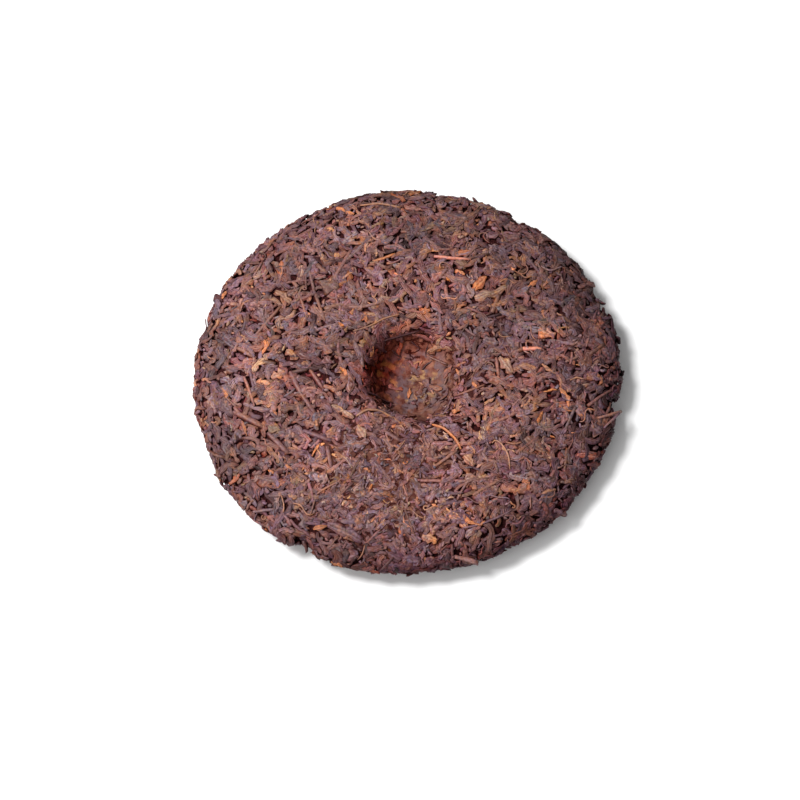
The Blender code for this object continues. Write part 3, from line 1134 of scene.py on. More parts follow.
@dataclass(frozen=True)
class Landmarks:
    """All singled-out leaves, laid on the cake where the camera sees them."""

    entries: dict[Kind, tuple[Landmark, ...]]
    camera: PhotoCamera
    roll: float = 0.12
    shade_spread: float = 0.06
    dip_share: float = 0.5

    def chart_path(self, entry: Landmark, share: Array, form: CakeForm) -> Array:
        """Carries one pixel path to the chart by the camera's rays and evens it out.

        The stations lie at the stated shares of the length of the line through its points, and each
        inner one is then moved to (before + 2 * itself + after) / 4.

        Args:
            entry: The singled-out leaf.
            share: The stations' shares of the way.
            form: The cake's form.

        Returns:
            Chart coordinates, one row for each station.
        """
        knots = self.camera.onto(form, np.array(entry.path, float).reshape(-1, 2))
        step = np.linalg.norm(np.diff(knots, axis=0), axis=1)
        at = np.concatenate([[0], np.cumsum(step)]) / step.sum()
        smooth = np.stack([np.interp(share, at, knots[:, 0]), np.interp(share, at, knots[:, 1])], axis=1)
        if len(share) > 3 and len(knots) > 2:
            inner = (smooth[:-2] + 2 * smooth[1:-1] + smooth[2:]) / 4
            smooth = np.concatenate([smooth[:1], inner, smooth[-1:]])
        return smooth

    def leaves(self, kind: Kind, litter: Litter, form: CakeForm, rng: Random) -> Leaves | None:
        """The singled-out leaves of one kind.

        Args:
            kind: The kind to make.
            litter: The kind's sizes, for what the landmark leaves open.
            form: The cake's form.
            rng: The seeded generator.

        Returns:
            The leaves, or None where there are none.
        """
        chosen = self.entries.get(kind, ())
        if not chosen:
            return None
        share = litter.way
        chart = np.array([self.chart_path(entry, share, form) for entry in chosen])
        number = len(chosen)
        anchor = chart.mean(axis=1)
        ends = np.abs(2 * share - 1)
        tip = np.full((number, 1), sum(litter.taper) / 2)
        body = tip + (1 - tip) * np.maximum(1 - ends**litter.fullness, 0)
        width = np.array([entry.width for entry in chosen]) * MM
        half_width = body * width[:, None] / 2
        half_thick = PRESSING.half_thick(np.minimum(litter.thickness[1] / 2, half_width), body)
        lift = np.array([entry.top for entry in chosen])[:, None] * MM - half_thick
        lift = lift - self.dip_share * litter.dip * ends**PRESSING.dip_power
        lift = lift + np.array([entry.stand for entry in chosen])[:, None] * MM * share**2
        roll = rng.uniform(-self.roll, self.roll, (number, 1)) * np.ones((1, litter.stations))
        shade = np.exp(rng.normal(0, self.shade_spread, (number, 1)))
        made = Leaves(
            kind=kind,
            section=litter.section.value,
            anchor=anchor,
            on_back=np.ones(number, bool),
            path=np.zeros_like(chart),
            lift=lift,
            half_width=half_width,
            half_thick=half_thick,
            roll=roll,
            rough=np.full(number, litter.rough),
            ragged=np.full(number, litter.ragged),
            crumple=np.full(number, litter.crumple),
            colour=np.array([entry.tone.value for entry in chosen]) * shade,
            ground=np.full(number, PRESSING.table_mm * MM),
            hero=np.ones(number, bool),
        )
        outward, round_way, scale = made.local_frame(form)
        offset = chart - anchor[:, None, :]
        turned = np.stack(
            [(offset * outward[:, None, :]).sum(axis=2), (offset * round_way[:, None, :]).sum(axis=2)], axis=2
        )
        return replace(made, path=np.einsum("kij,knj->kni", np.linalg.inv(scale), turned))


# Which leaves can be seen


@dataclass(frozen=True)
class Pile:
    """Sorts out a pile of leaves: cells on the cake's surface record the highest leaf over each."""

    cell: float = 0.0006
    slack: float = 0.00012
    least_seen: float = 0.22
    least_under: float = 0.08
    may_cover: float = 0.07
    cover_slack: float = 0.0001
    half_cells: int = 2000
    cells_across: int = 4096

    def cells(self, points: Array) -> Array:
        """The number of the cell that each point lies in."""
        index = np.floor(points / self.cell).astype(np.int64) + self.half_cells
        return (index[..., 0] * self.cells_across + index[..., 1]) * self.cells_across + index[..., 2]

    def seen(self, form: CakeForm, batches: Sequence[Leaves]) -> list[Array]:
        """Which leaves of each batch show enough from outside.

        A sample is seen where no other leaf's top in its cell is higher by more than the slack, and a
        leaf is kept where the seen share of its samples is large enough, which is less for the leaves
        that fill the gaps. Leaves that would cover more than the edge of a singled-out leaf are dropped
        first.

        Args:
            form: The cake's form.
            batches: The leaves.

        Returns:
            One mask for each batch.
        """
        cells = []
        tops = []
        for batch in batches:
            points, height = batch.samples(form)
            cells.append(self.cells(points))
            tops.append(height)
        flat = np.concatenate([cell.ravel() for cell in cells])
        unique, inverse = np.unique(flat, return_inverse=True)
        bounds = np.cumsum([0] + [cell.size for cell in cells])
        hero_top = np.full(len(unique), -1.0)
        own = [inverse[bounds[k] : bounds[k + 1]].reshape(cells[k].shape) for k in range(len(batches))]
        for batch, cell, top in zip(batches, own, tops):
            if batch.hero.any():
                np.maximum.at(hero_top, cell[batch.hero].ravel(), top[batch.hero].ravel())
        masks = []
        for batch, cell, top in zip(batches, own, tops):
            over = (hero_top[cell] > -1) & (top > hero_top[cell] - self.cover_slack)
            masks.append(batch.hero | (over.mean(axis=1) < self.may_cover))
        highest = np.full(len(unique), -1.0)
        for mask, cell, top in zip(masks, own, tops):
            np.maximum.at(highest, cell[mask].ravel(), top[mask].ravel())
        for k, (batch, cell, top) in enumerate(zip(batches, own, tops)):
            share = (top >= highest[cell] - self.slack).mean(axis=1)
            least = self.least_under if batch.kind is Kind.FILLER else self.least_seen
            masks[k] &= batch.hero | (share >= least)
        return masks


# Meshes


def attach(mesh: bpy.types.Mesh, name: str, values: Array) -> None:
    """Stores one value or one colour for each vertex as an attribute.

    Args:
        mesh: The mesh.
        name: The attribute's name.
        values: One value, or one row of three, for each vertex.
    """
    if values.ndim == 1:
        layer = mesh.attributes.new(name, "FLOAT", "POINT")
        layer.data.foreach_set("value", values.astype(np.float32))
        return
    layer = mesh.attributes.new(name, "FLOAT_COLOR", "POINT")
    rgba = np.concatenate([values, np.ones((len(values), 1))], axis=1)
    layer.data.foreach_set("color", rgba.astype(np.float32).ravel())


def add_mesh(
    name: str, verts: Array, loops: Array, sizes: Array, uv: Array | None = None
) -> bpy.types.Object:
    """Makes a smooth-shaded mesh object from whole arrays.

    Args:
        name: The object's name.
        verts: Vertices.
        loops: The corner vertex indices of all faces, one after another.
        sizes: The number of corners of each face.
        uv: A flat coordinate for each vertex.

    Returns:
        The object, at the origin.
    """
    mesh = bpy.data.meshes.new(name)
    mesh.vertices.add(len(verts))
    mesh.vertices.foreach_set("co", verts.astype(np.float32).ravel())
    mesh.loops.add(len(loops))
    mesh.loops.foreach_set("vertex_index", loops.astype(np.int32))
    mesh.polygons.add(len(sizes))
    mesh.polygons.foreach_set("loop_start", np.concatenate([[0], np.cumsum(sizes)[:-1]]).astype(np.int32))
    mesh.polygons.foreach_set("use_smooth", np.ones(len(sizes), bool))
    mesh.update(calc_edges=True)
    if uv is not None:
        layer = mesh.uv_layers.new(name="leaf")
        layer.data.foreach_set("uv", uv[loops].astype(np.float32).ravel())
    obj = bpy.data.objects.new(name, mesh)
    bpy.context.scene.collection.objects.link(obj)
    return obj


def swept_object(name: str, leaves: Leaves, form: CakeForm, rng: Random) -> bpy.types.Object:
    """Makes one piece of many swept leaves.

    Args:
        name: The piece's name.
        leaves: The leaves.
        form: The cake's form.
        rng: The seeded generator of their roughness.

    Returns:
        The piece.
    """
    arrays = leaves.mesh_arrays(form, rng)
    loops = np.concatenate([arrays["quads"].ravel(), arrays["caps"].ravel()])
    caps = arrays["caps"]
    sizes = np.concatenate([np.full(len(arrays["quads"]), 4), np.full(len(caps), caps.shape[1])])
    obj = add_mesh(name, arrays["verts"], loops, sizes, arrays["uv"])
    for value in ("colour", "crest", "depth"):
        attach(obj.data, f"leaf_{value}", arrays[value])
    return obj


# Finishes


class Blend(Enum):
    """How two colours are mixed."""

    MIX = "MIX"
    MULTIPLY = "MULTIPLY"


class Sum(Enum):
    """A step of arithmetic."""

    ADD = "ADD"
    SUBTRACT = "SUBTRACT"
    MULTIPLY = "MULTIPLY"
    MAXIMUM = "MAXIMUM"
    ABSOLUTE = "ABSOLUTE"


@dataclass(frozen=True)
class NodeSheet:
    """A material's node tree with short calls for adding and joining nodes."""

    material: bpy.types.Material

    @staticmethod
    def fresh(name: str) -> "NodeSheet":
        """A new material with a Principled shader.

        Args:
            name: The material's name.

        Returns:
            Its sheet.
        """
        material = bpy.data.materials.new(name)
        material.use_nodes = True
        return NodeSheet(material)

    @property
    def shader(self) -> bpy.types.Node:
        """The Principled shader."""
        return self.material.node_tree.nodes["Principled BSDF"]

    def add(self, kind: str, **settings: object) -> bpy.types.Node:
        """Adds a node.

        Args:
            kind: The node's type name.
            settings: Its properties.

        Returns:
            The node.
        """
        node = self.material.node_tree.nodes.new(kind)
        for name, value in settings.items():
            setattr(node, name, value)
        return node

    def link(self, source: Socket, target: Socket) -> None:
        """Joins two sockets."""
        self.material.node_tree.links.new(source, target)

    def attribute(self, name: str) -> bpy.types.Node:
        """An Attribute node that reads the mesh's own values."""
        return self.add("ShaderNodeAttribute", attribute_name=name)

    def plain(self, colour: Colour) -> Socket:
        """A plain colour.

        Args:
            colour: Its linear value.

        Returns:
            The socket that gives it.
        """
        node = self.add("ShaderNodeRGB")
        node.outputs[0].default_value = (*colour, 1.0)
        return node.outputs[0]

    def noise(self, vector: Socket, scale: float, detail: float) -> Socket:
        """A noise pattern.

        Args:
            vector: The coordinates it reads.
            scale: Its scale.
            detail: Its detail.

        Returns:
            Its factor.
        """
        node = self.add("ShaderNodeTexNoise")
        node.inputs["Scale"].default_value = scale
        node.inputs["Detail"].default_value = detail
        self.link(vector, node.inputs["Vector"])
        return node.outputs["Fac"]

    def ramp(self, source: Socket, stops: Sequence[tuple[float, float]]) -> Socket:
        """Carries a value through a curve of grey stops.

        Args:
            source: The value.
            stops: Pairs of position and grey.

        Returns:
            The carried value.
        """
        node = self.add("ShaderNodeValToRGB")
        elements = node.color_ramp.elements
        while len(elements) < len(stops):
            elements.new(0.5)
        for element, (position, grey) in zip(elements, stops):
            element.position = position
            element.color = (grey, grey, grey, 1.0)
        self.link(source, node.inputs["Fac"])
        return node.outputs["Color"]

    def math(self, operation: Sum, first: Socket, second: Socket | float = 0.0) -> Socket:
        """One step of arithmetic.

        Args:
            operation: Which step.
            first: The first value.
            second: The second value, or a number; a step of one value leaves it out.

        Returns:
            The result.
        """
        node = self.add("ShaderNodeMath", operation=operation.value)
        self.link(first, node.inputs[0])
        if isinstance(second, (int, float)):
            node.inputs[1].default_value = second
        else:
            self.link(second, node.inputs[1])
        return node.outputs[0]

    def mix(self, blend: Blend, factor: Socket | float, first: Socket, second: Socket | Colour) -> Socket:
        """Mixes two colours.

        Args:
            blend: How they are mixed.
            factor: How much of the second.
            first: The first colour.
            second: The second colour, or its linear value.

        Returns:
            The mixed colour.
        """
        node = self.add("ShaderNodeMix", data_type="RGBA", blend_type=blend.value)
        if isinstance(factor, (int, float)):
            node.inputs["Factor"].default_value = factor
        else:
            self.link(factor, node.inputs["Factor"])
        self.link(first, node.inputs["A"])
        if isinstance(second, tuple):
            node.inputs["B"].default_value = (*second, 1.0)
        else:
            self.link(second, node.inputs["B"])
        return node.outputs["Result"]

    def bump(self, relief: Socket, strength: float, distance: float) -> None:
        """Raises the shader's surface by a relief.

        Args:
            relief: The heights.
            strength: How strongly it shows.
            distance: The length of one unit of height.
        """
        node = self.add("ShaderNodeBump")
        node.inputs["Strength"].default_value = strength
        node.inputs["Distance"].default_value = distance
        self.link(relief, node.inputs["Height"])
        self.link(node.outputs["Normal"], self.shader.inputs["Normal"])


@dataclass(frozen=True)
class LeafFinish:
    """A dry leaf: its own colour, streaked along its fibres, with dust, painted sheen and a painted highlight
    on its crests and painted shade in its folds.
    """

    name: str
    streak: float = 0.28
    blotch: float = 0.26
    crest_highlight: Colour = (0.16, 0.40, 0.38)
    fold_shade_tint: Colour = (0.38, 0.11, 0.11)
    depth_shade_tint: Colour = (0.62, 0.13, 0.125)
    mottle: float = 0.23
    cool: Colour = (0.95, 1.00, 1.17)
    warm: Colour = (1.10, 0.985, 0.80)
    rust: float = 0.55
    rust_tint: Colour = (1.60, 1.34, 0.60)
    dust_and_sheen: float = 0.22
    dust_and_sheen_colour: Colour = (0.26, 0.186, 0.166)
    roughness: Limits = (0.48, 0.70)
    specular: float = 0.22
    bump: float = 0.35
    bump_distance: float = 0.00018
    bump_fibre: float = 0.7
    bump_patch: float = 0.6
    fibre_stretch: tuple[float, float, float] = (0.30, 1.9, 1.0)
    fibre_scale: float = 2.4
    fibre_middle: Limits = (0.3, 0.7)
    patch_scale: float = 900.0
    swing_scale: float = 620.0
    rust_scale: float = 210.0
    mottle_scale: float = 36.0
    depth_zero: float = 2.4
    depth_span: float = 2.6

    def build(self) -> bpy.types.Material:
        """Builds the material.

        The colour is the leaf's own, swung between cool and warm by noise and stained with rust in
        patches of noise, more in the folds; times a streak of noise stretched along the leaf, a blotch
        of noise and a broad mottle over the cake; darkened as painted shade by depth under the surface
        and in the folds, brightened on the crests as a painted highlight and covered there with a thin
        grey dust, partly a painted sheen.

        Returns:
            The material.
        """
        sheet = NodeSheet.fresh(self.name)
        shader = sheet.shader
        colour = sheet.attribute("leaf_colour").outputs["Color"]
        crest = sheet.attribute("leaf_crest").outputs["Fac"]
        depth = sheet.attribute("leaf_depth").outputs["Fac"]
        uv = sheet.add("ShaderNodeUVMap", uv_map="leaf").outputs["UV"]
        stretch = sheet.add("ShaderNodeMapping")
        stretch.inputs["Scale"].default_value = self.fibre_stretch
        sheet.link(uv, stretch.inputs["Vector"])
        fibre = sheet.noise(stretch.outputs["Vector"], self.fibre_scale, 3.0)
        place = sheet.add("ShaderNodeTexCoord").outputs["Object"]
        patch = sheet.noise(place, self.patch_scale, 3.0)
        streak = sheet.ramp(fibre, ((0.30, 1 - self.streak), (0.50, 1.0), (0.72, 1 + self.streak)))
        blotch = sheet.ramp(patch, ((0.32, 1 - self.blotch), (0.50, 1.0), (0.70, 1 + self.blotch)))
        swing = sheet.ramp(sheet.noise(place, self.swing_scale, 3.0), ((0.36, 0.0), (0.64, 1.0)))
        swung = sheet.mix(Blend.MIX, swing, sheet.plain(self.cool), self.warm)
        colour = sheet.mix(Blend.MULTIPLY, 1.0, colour, swung)
        fold = sheet.ramp(crest, ((0.30, 0.14), (0.80, 0.0)))
        stain = sheet.math(Sum.ADD, sheet.noise(place, self.rust_scale, 5.0), fold)
        stain = sheet.ramp(stain, ((0.54, 0.0), (0.70, self.rust)))
        colour = sheet.mix(Blend.MULTIPLY, stain, colour, self.rust_tint)
        mottle = sheet.noise(place, self.mottle_scale, 2.0)
        mottle = sheet.ramp(mottle, ((0.34, 1 - self.mottle), (0.66, 1 + self.mottle)))
        for pattern in (mottle, streak, blotch):
            colour = sheet.mix(Blend.MULTIPLY, 1.0, colour, pattern)
        # Painted shade: the leaf's folds and underside are darkened
        folded = sheet.ramp(crest, ((0.35, 1.0), (0.62, 0.40), (0.90, 0.0)))
        colour = sheet.mix(Blend.MULTIPLY, folded, colour, self.fold_shade_tint)
        # Painted shade: the deeper a point lies under the smooth surface, the darker and redder it is made
        level = sheet.math(Sum.MULTIPLY, sheet.math(Sum.ADD, depth, self.depth_zero), 1 / self.depth_span)
        deep = sheet.ramp(level, ((0.28, 1.0), (0.86, 0.0)))
        colour = sheet.mix(Blend.MULTIPLY, deep, colour, self.depth_shade_tint)
        # Painted highlight: the crests are made lighter and greyer
        raised = tuple(1 + gain for gain in self.crest_highlight)
        colour = sheet.mix(Blend.MULTIPLY, sheet.ramp(crest, ((0.80, 0.0), (1.0, 1.0))), colour, raised)
        # Partly real dust, partly a painted sheen: a grey film on the higher crests, in patches
        dust_and_sheen_mask = sheet.ramp(crest, ((0.70, 0.0), (1.0, 1.0)))
        dust_and_sheen_mask = sheet.math(Sum.MULTIPLY, dust_and_sheen_mask, sheet.ramp(patch, ((0.35, 0.0), (0.65, 1.0))))
        dust_and_sheen_mask = sheet.math(Sum.MULTIPLY, dust_and_sheen_mask, sheet.math(Sum.MULTIPLY, level, self.dust_and_sheen))
        colour = sheet.mix(Blend.MIX, dust_and_sheen_mask, colour, self.dust_and_sheen_colour)
        sheet.link(colour, shader.inputs["Base Color"])
        gloss = sheet.add("ShaderNodeMapRange")
        sheet.link(fibre, gloss.inputs["Value"])
        limits = (*self.fibre_middle, *self.roughness)
        for socket, limit in zip(("From Min", "From Max", "To Min", "To Max"), limits):
            gloss.inputs[socket].default_value = limit
        sheet.link(gloss.outputs["Result"], shader.inputs["Roughness"])
        shader.inputs["Specular IOR Level"].default_value = self.specular
        relief = sheet.math(Sum.MULTIPLY, fibre, self.bump_fibre)
        relief = sheet.math(Sum.ADD, relief, sheet.math(Sum.MULTIPLY, patch, self.bump_patch))
        sheet.bump(relief, self.bump, self.bump_distance)
        return sheet.material


@dataclass(frozen=True)
class CoreFinish:
    """The fine tea between the leaves, near black in the gaps, partly as painted shade, and mashed to a
    skin where the knot pressed it.
    """

    name: str = "fine_tea"
    # Near-black gap colours: partly the fine tea's own dark brown, partly painted shade between the leaves
    dark: Colour = (0.028, 0.006, 0.006)
    light: Colour = (0.050, 0.011, 0.011)
    mash_dark: Colour = (0.088, 0.026, 0.018)
    mash_light: Colour = (0.180, 0.078, 0.056)
    slate: Colour = (0.122, 0.082, 0.090)
    gold: Colour = (0.320, 0.185, 0.088)
    crack_shade: Colour = (0.26, 0.09, 0.08)
    ember: Colour = (0.200, 0.060, 0.018)
    pit_shade: Colour = (0.22, 0.20, 0.20)
    roughness: float = 0.75
    specular: float = 0.05
    bump: float = 0.8
    bump_distance: float = 0.0006
    bump_grain: float = 0.6
    grain_scale: float = 1400.0
    patch_scale: float = 330.0
    slate_scale: float = 210.0
    fleck_scale: float = 290.0
    crack_scale: float = 150.0
    cracked_scale: float = 95.0
    pit_scale: float = 330.0
    ember_scale: float = 270.0

    def build(self) -> bpy.types.Material:
        """Builds the material.

        Two near-black browns, the fine tea's own colour and partly painted shade in the gaps, mixed by
        fine noise over the cake give way, with the share of the hollow's depth, to two lighter browns mixed
        by broader noise, with patches of slate on the floor and gold flecks that lie mostly in its middle.
        Winding cracks, darkened as painted shade, run over the walls and parts of the floor where a broad
        noise passes its middle. The form's painted light and shade is laid over all. Where the painted
        shade on the hollow's side is deepest, noise sets black pits of painted shade and amber embers,
        gold flecks of the tea's own colour, in it.

        Returns:
            The material.
        """
        sheet = NodeSheet.fresh(self.name)
        place = sheet.add("ShaderNodeTexCoord").outputs["Object"]
        grain = sheet.noise(place, self.grain_scale, 4.0)
        patch = sheet.noise(place, self.patch_scale, 6.0)
        share = sheet.attribute("pressed").outputs["Fac"]
        gap = sheet.ramp(grain, ((0.42, 0.0), (0.66, 1.0)))
        gap = sheet.mix(Blend.MIX, gap, sheet.plain(self.dark), self.light)
        mash = sheet.ramp(patch, ((0.40, 0.0), (0.60, 1.0)))
        mash = sheet.mix(Blend.MIX, mash, sheet.plain(self.mash_dark), self.mash_light)
        on_floor = sheet.ramp(share, ((0.52, 0.0), (0.90, 1.0)))
        slate = sheet.ramp(sheet.noise(place, self.slate_scale, 5.0), ((0.44, 0.0), (0.56, 0.9)))
        mash = sheet.mix(Blend.MIX, sheet.math(Sum.MULTIPLY, slate, on_floor), mash, self.slate)
        in_middle = sheet.ramp(share, ((0.90, 0.15), (0.985, 1.0)))
        fleck = sheet.ramp(sheet.noise(place, self.fleck_scale, 4.0), ((0.54, 0.0), (0.64, 0.80)))
        mash = sheet.mix(Blend.MIX, sheet.math(Sum.MULTIPLY, fleck, in_middle), mash, self.gold)
        # Painted shade in winding cracks over the walls and parts of the floor
        winding = sheet.math(Sum.SUBTRACT, sheet.noise(place, self.crack_scale, 4.0), 0.5)
        cracked = sheet.ramp(sheet.math(Sum.ABSOLUTE, winding), ((0.012, 1.0), (0.040, 0.0)))
        here = sheet.ramp(sheet.noise(place, self.cracked_scale, 1.0), ((0.52, 0.0), (0.58, 1.0)))
        on_wall = sheet.ramp(share, ((0.55, 1.0), (0.80, 0.0)))
        cracked = sheet.math(Sum.MULTIPLY, cracked, sheet.math(Sum.MAXIMUM, here, on_wall))
        mash = sheet.mix(Blend.MULTIPLY, cracked, mash, self.crack_shade)
        colour = sheet.mix(Blend.MIX, sheet.ramp(share, ((0.20, 0.0), (0.60, 1.0))), gap, mash)
        # The form's painted light and shade on the walls, the side and the pockets
        painted_light_and_shade = sheet.attribute("painted_light_and_shade").outputs["Color"]
        colour = sheet.mix(Blend.MULTIPLY, 1.0, colour, painted_light_and_shade)
        inside = sheet.ramp(share, ((0.04, 0.0), (0.20, 1.0)))
        shaded_wall = sheet.math(Sum.MULTIPLY, sheet.ramp(painted_light_and_shade, ((0.35, 1.0), (0.75, 0.0))), inside)
        # Painted shade: black pits where the painted shade on the hollow's wall is deepest
        pitted = sheet.ramp(sheet.noise(place, self.pit_scale, 3.0), ((0.40, 1.0), (0.50, 0.0)))
        colour = sheet.mix(Blend.MULTIPLY, sheet.math(Sum.MULTIPLY, shaded_wall, pitted), colour, self.pit_shade)
        glowing = sheet.ramp(sheet.noise(place, self.ember_scale, 4.0), ((0.53, 0.0), (0.63, 0.9)))
        colour = sheet.mix(Blend.MIX, sheet.math(Sum.MULTIPLY, shaded_wall, glowing), colour, self.ember)
        sheet.link(colour, sheet.shader.inputs["Base Color"])
        sheet.shader.inputs["Roughness"].default_value = self.roughness
        sheet.shader.inputs["Specular IOR Level"].default_value = self.specular
        relief = sheet.math(Sum.ADD, sheet.math(Sum.MULTIPLY, grain, self.bump_grain), patch)
        sheet.bump(sheet.math(Sum.SUBTRACT, relief, cracked), self.bump, self.bump_distance)
        return sheet.material


# Sub-assemblies


@dataclass(frozen=True)
class Core:
    """The mass under the leaves: the cake's form, sunk a little and lumpy."""

    hollow_rows: int = 46
    rows: int = 80
    columns: int = 230
    sink: float = 0.0018
    rim_sink: float = 0.0004
    hollow_sink: float = 0.0005
    hollow_reach: float = 0.030
    lump_height: float = 0.0006
    lump_count: int = 26
    lump_turns: Limits = (900, 2600)
    fold_height: float = 0.0005
    fold_turns: float = 0.38
    fold_wall: float = 4.0
    fold_floor: float = 0.5
    mash_calm: float = 0.72
    mash_skin: float = 0.44
    rim_band: float = 0.010
    lowest: float = 0.0009

    def build(self, form: CakeForm, rng: Random) -> bpy.types.Object:
        """Builds the core.

        Rows of points run from the back's centre to the face's at even arc lengths, which are shorter
        in the hollow, and each point is moved inwards along the normal by its depth.

        Args:
            form: The cake's form.
            rng: The seeded generator.

        Returns:
            The piece.
        """
        inner = np.linspace(0, self.hollow_reach, self.hollow_rows + 1)[1:]
        outer = np.linspace(self.hollow_reach, form.last_arc, self.rows + 2)[1:-1]
        angle = np.arange(self.columns) * 2 * math.pi / self.columns
        arc, angle = np.meshgrid(np.concatenate([inner, outer]), angle, indexing="ij")
        on_back = arc <= form.rim_arc
        reach = np.where(on_back, arc, form.last_arc - arc)
        u = reach * np.cos(angle)
        v = reach * np.sin(angle)
        base = form.chart_point(u, v, on_back)
        normal = form.chart_normal(u, v, on_back)
        pressed = np.where(on_back, form.pressed(base[..., 0], base[..., 1]) / form.hollow_depth, 0)
        mashed = form.mashed(base)
        depth = self.depths(form, base, arc, pressed, mashed, rng)
        points = base - normal * depth[..., None]
        points[..., 2] = np.maximum(points[..., 2], self.lowest)
        verts = np.concatenate([points.reshape(-1, 3), [points[0].mean(axis=0)], [points[-1].mean(axis=0)]])
        core = add_mesh("fine_tea_core", verts, *self.faces(len(arc)))
        skin = np.maximum(pressed, self.mash_skin * mashed)
        attach(core.data, "pressed", np.concatenate([skin.ravel(), [skin[0].mean(), 0.0]]))
        # The form's painted light and shade, kept for the core's finish
        attach(core.data, "painted_light_and_shade", form.painted_light_and_shade(verts))
        return core

    def depths(
        self, form: CakeForm, base: Array, arc: Array, pressed: Array, mashed: Array, rng: Random
    ) -> Array:
        """How far the core's points lie under the smooth form: the sink, less the lumps and the folds.

        The lumps are a sum of sines in seeded directions, and in the hollow slower sines in the same
        directions make folds. The sink is shallower in the mash and the hollow, and deeper at the rim.

        Args:
            form: The cake's form.
            base: Points of the smooth form.
            arc: Their arc lengths.
            pressed: The hollow's share of its depth there.
            mashed: How far the tea is mashed there.
            rng: The seeded generator of the lumps.

        Returns:
            Depths, one for each point.
        """
        ways = rng.normal(0, 1, (self.lump_count, 3))
        turns = rng.uniform(*self.lump_turns, (self.lump_count, 1))
        ways = ways / np.linalg.norm(ways, axis=1, keepdims=True) * turns
        phase = rng.uniform(0, 2 * math.pi, self.lump_count)
        lumps = np.sin(base @ ways.T + phase).sum(axis=-1) / math.sqrt(self.lump_count)
        folds = np.sin(self.fold_turns * (base @ ways.T) + phase[::-1]).sum(axis=-1)
        folds = folds / math.sqrt(self.lump_count)
        depth = self.sink * (1 - self.mash_calm * mashed)
        depth = depth + (self.hollow_sink - depth) * pressed
        depth = depth + self.rim_sink * np.exp(-(((arc - form.rim_arc) / self.rim_band) ** 2))
        calm = 1 - self.mash_calm * np.maximum(pressed, mashed)
        depth = depth + form.crumbled(base) - self.lump_height * lumps * calm
        folded = np.minimum(self.fold_wall * pressed * (1 - pressed) + self.fold_floor * pressed, 1)
        return depth - self.fold_height * folds * folded

    def faces(self, rows: int) -> tuple[Array, Array]:
        """The core's faces: quads between its rows of points, and a fan round either middle.

        Args:
            rows: How many rows of points there are; the two middles come after them.

        Returns:
            The corner vertex indices of all faces, and the number of corners of each.
        """
        row = np.arange(rows - 1)[:, None] * self.columns
        column = np.arange(self.columns)
        after = (column + 1) % self.columns
        below = row + self.columns
        quads = np.stack([row + column, below + column, below + after, row + after], -1)
        top = rows * self.columns
        last = top - self.columns
        top_fan = np.stack([np.full(self.columns, top), column, after], -1)
        foot_fan = np.stack([np.full(self.columns, top + 1), last + after, last + column], -1)
        loops = np.concatenate([quads.ravel(), top_fan.ravel(), foot_fan.ravel()])
        return loops, np.concatenate([np.full(quads.size // 4, 4), np.full(2 * self.columns, 3)])


# The filler leaves lie deep in the gaps; their darker tones are partly their own and partly painted shade
DARK_MIX = ((Tone.PLUM, 0.36), (Tone.UMBER, 0.32), (Tone.BLACK, 0.16), (Tone.RED, 0.12), (Tone.GREY, 0.04))
LEAF_MIX = (
    (Tone.PLUM, 0.26),
    (Tone.UMBER, 0.32),
    (Tone.SLATE, 0.12),
    (Tone.GREY, 0.09),
    (Tone.RED, 0.11),
    (Tone.BLACK, 0.05),
    (Tone.STRAW, 0.04),
    (Tone.TAN, 0.04),
    (Tone.ORANGE, 0.01),
)

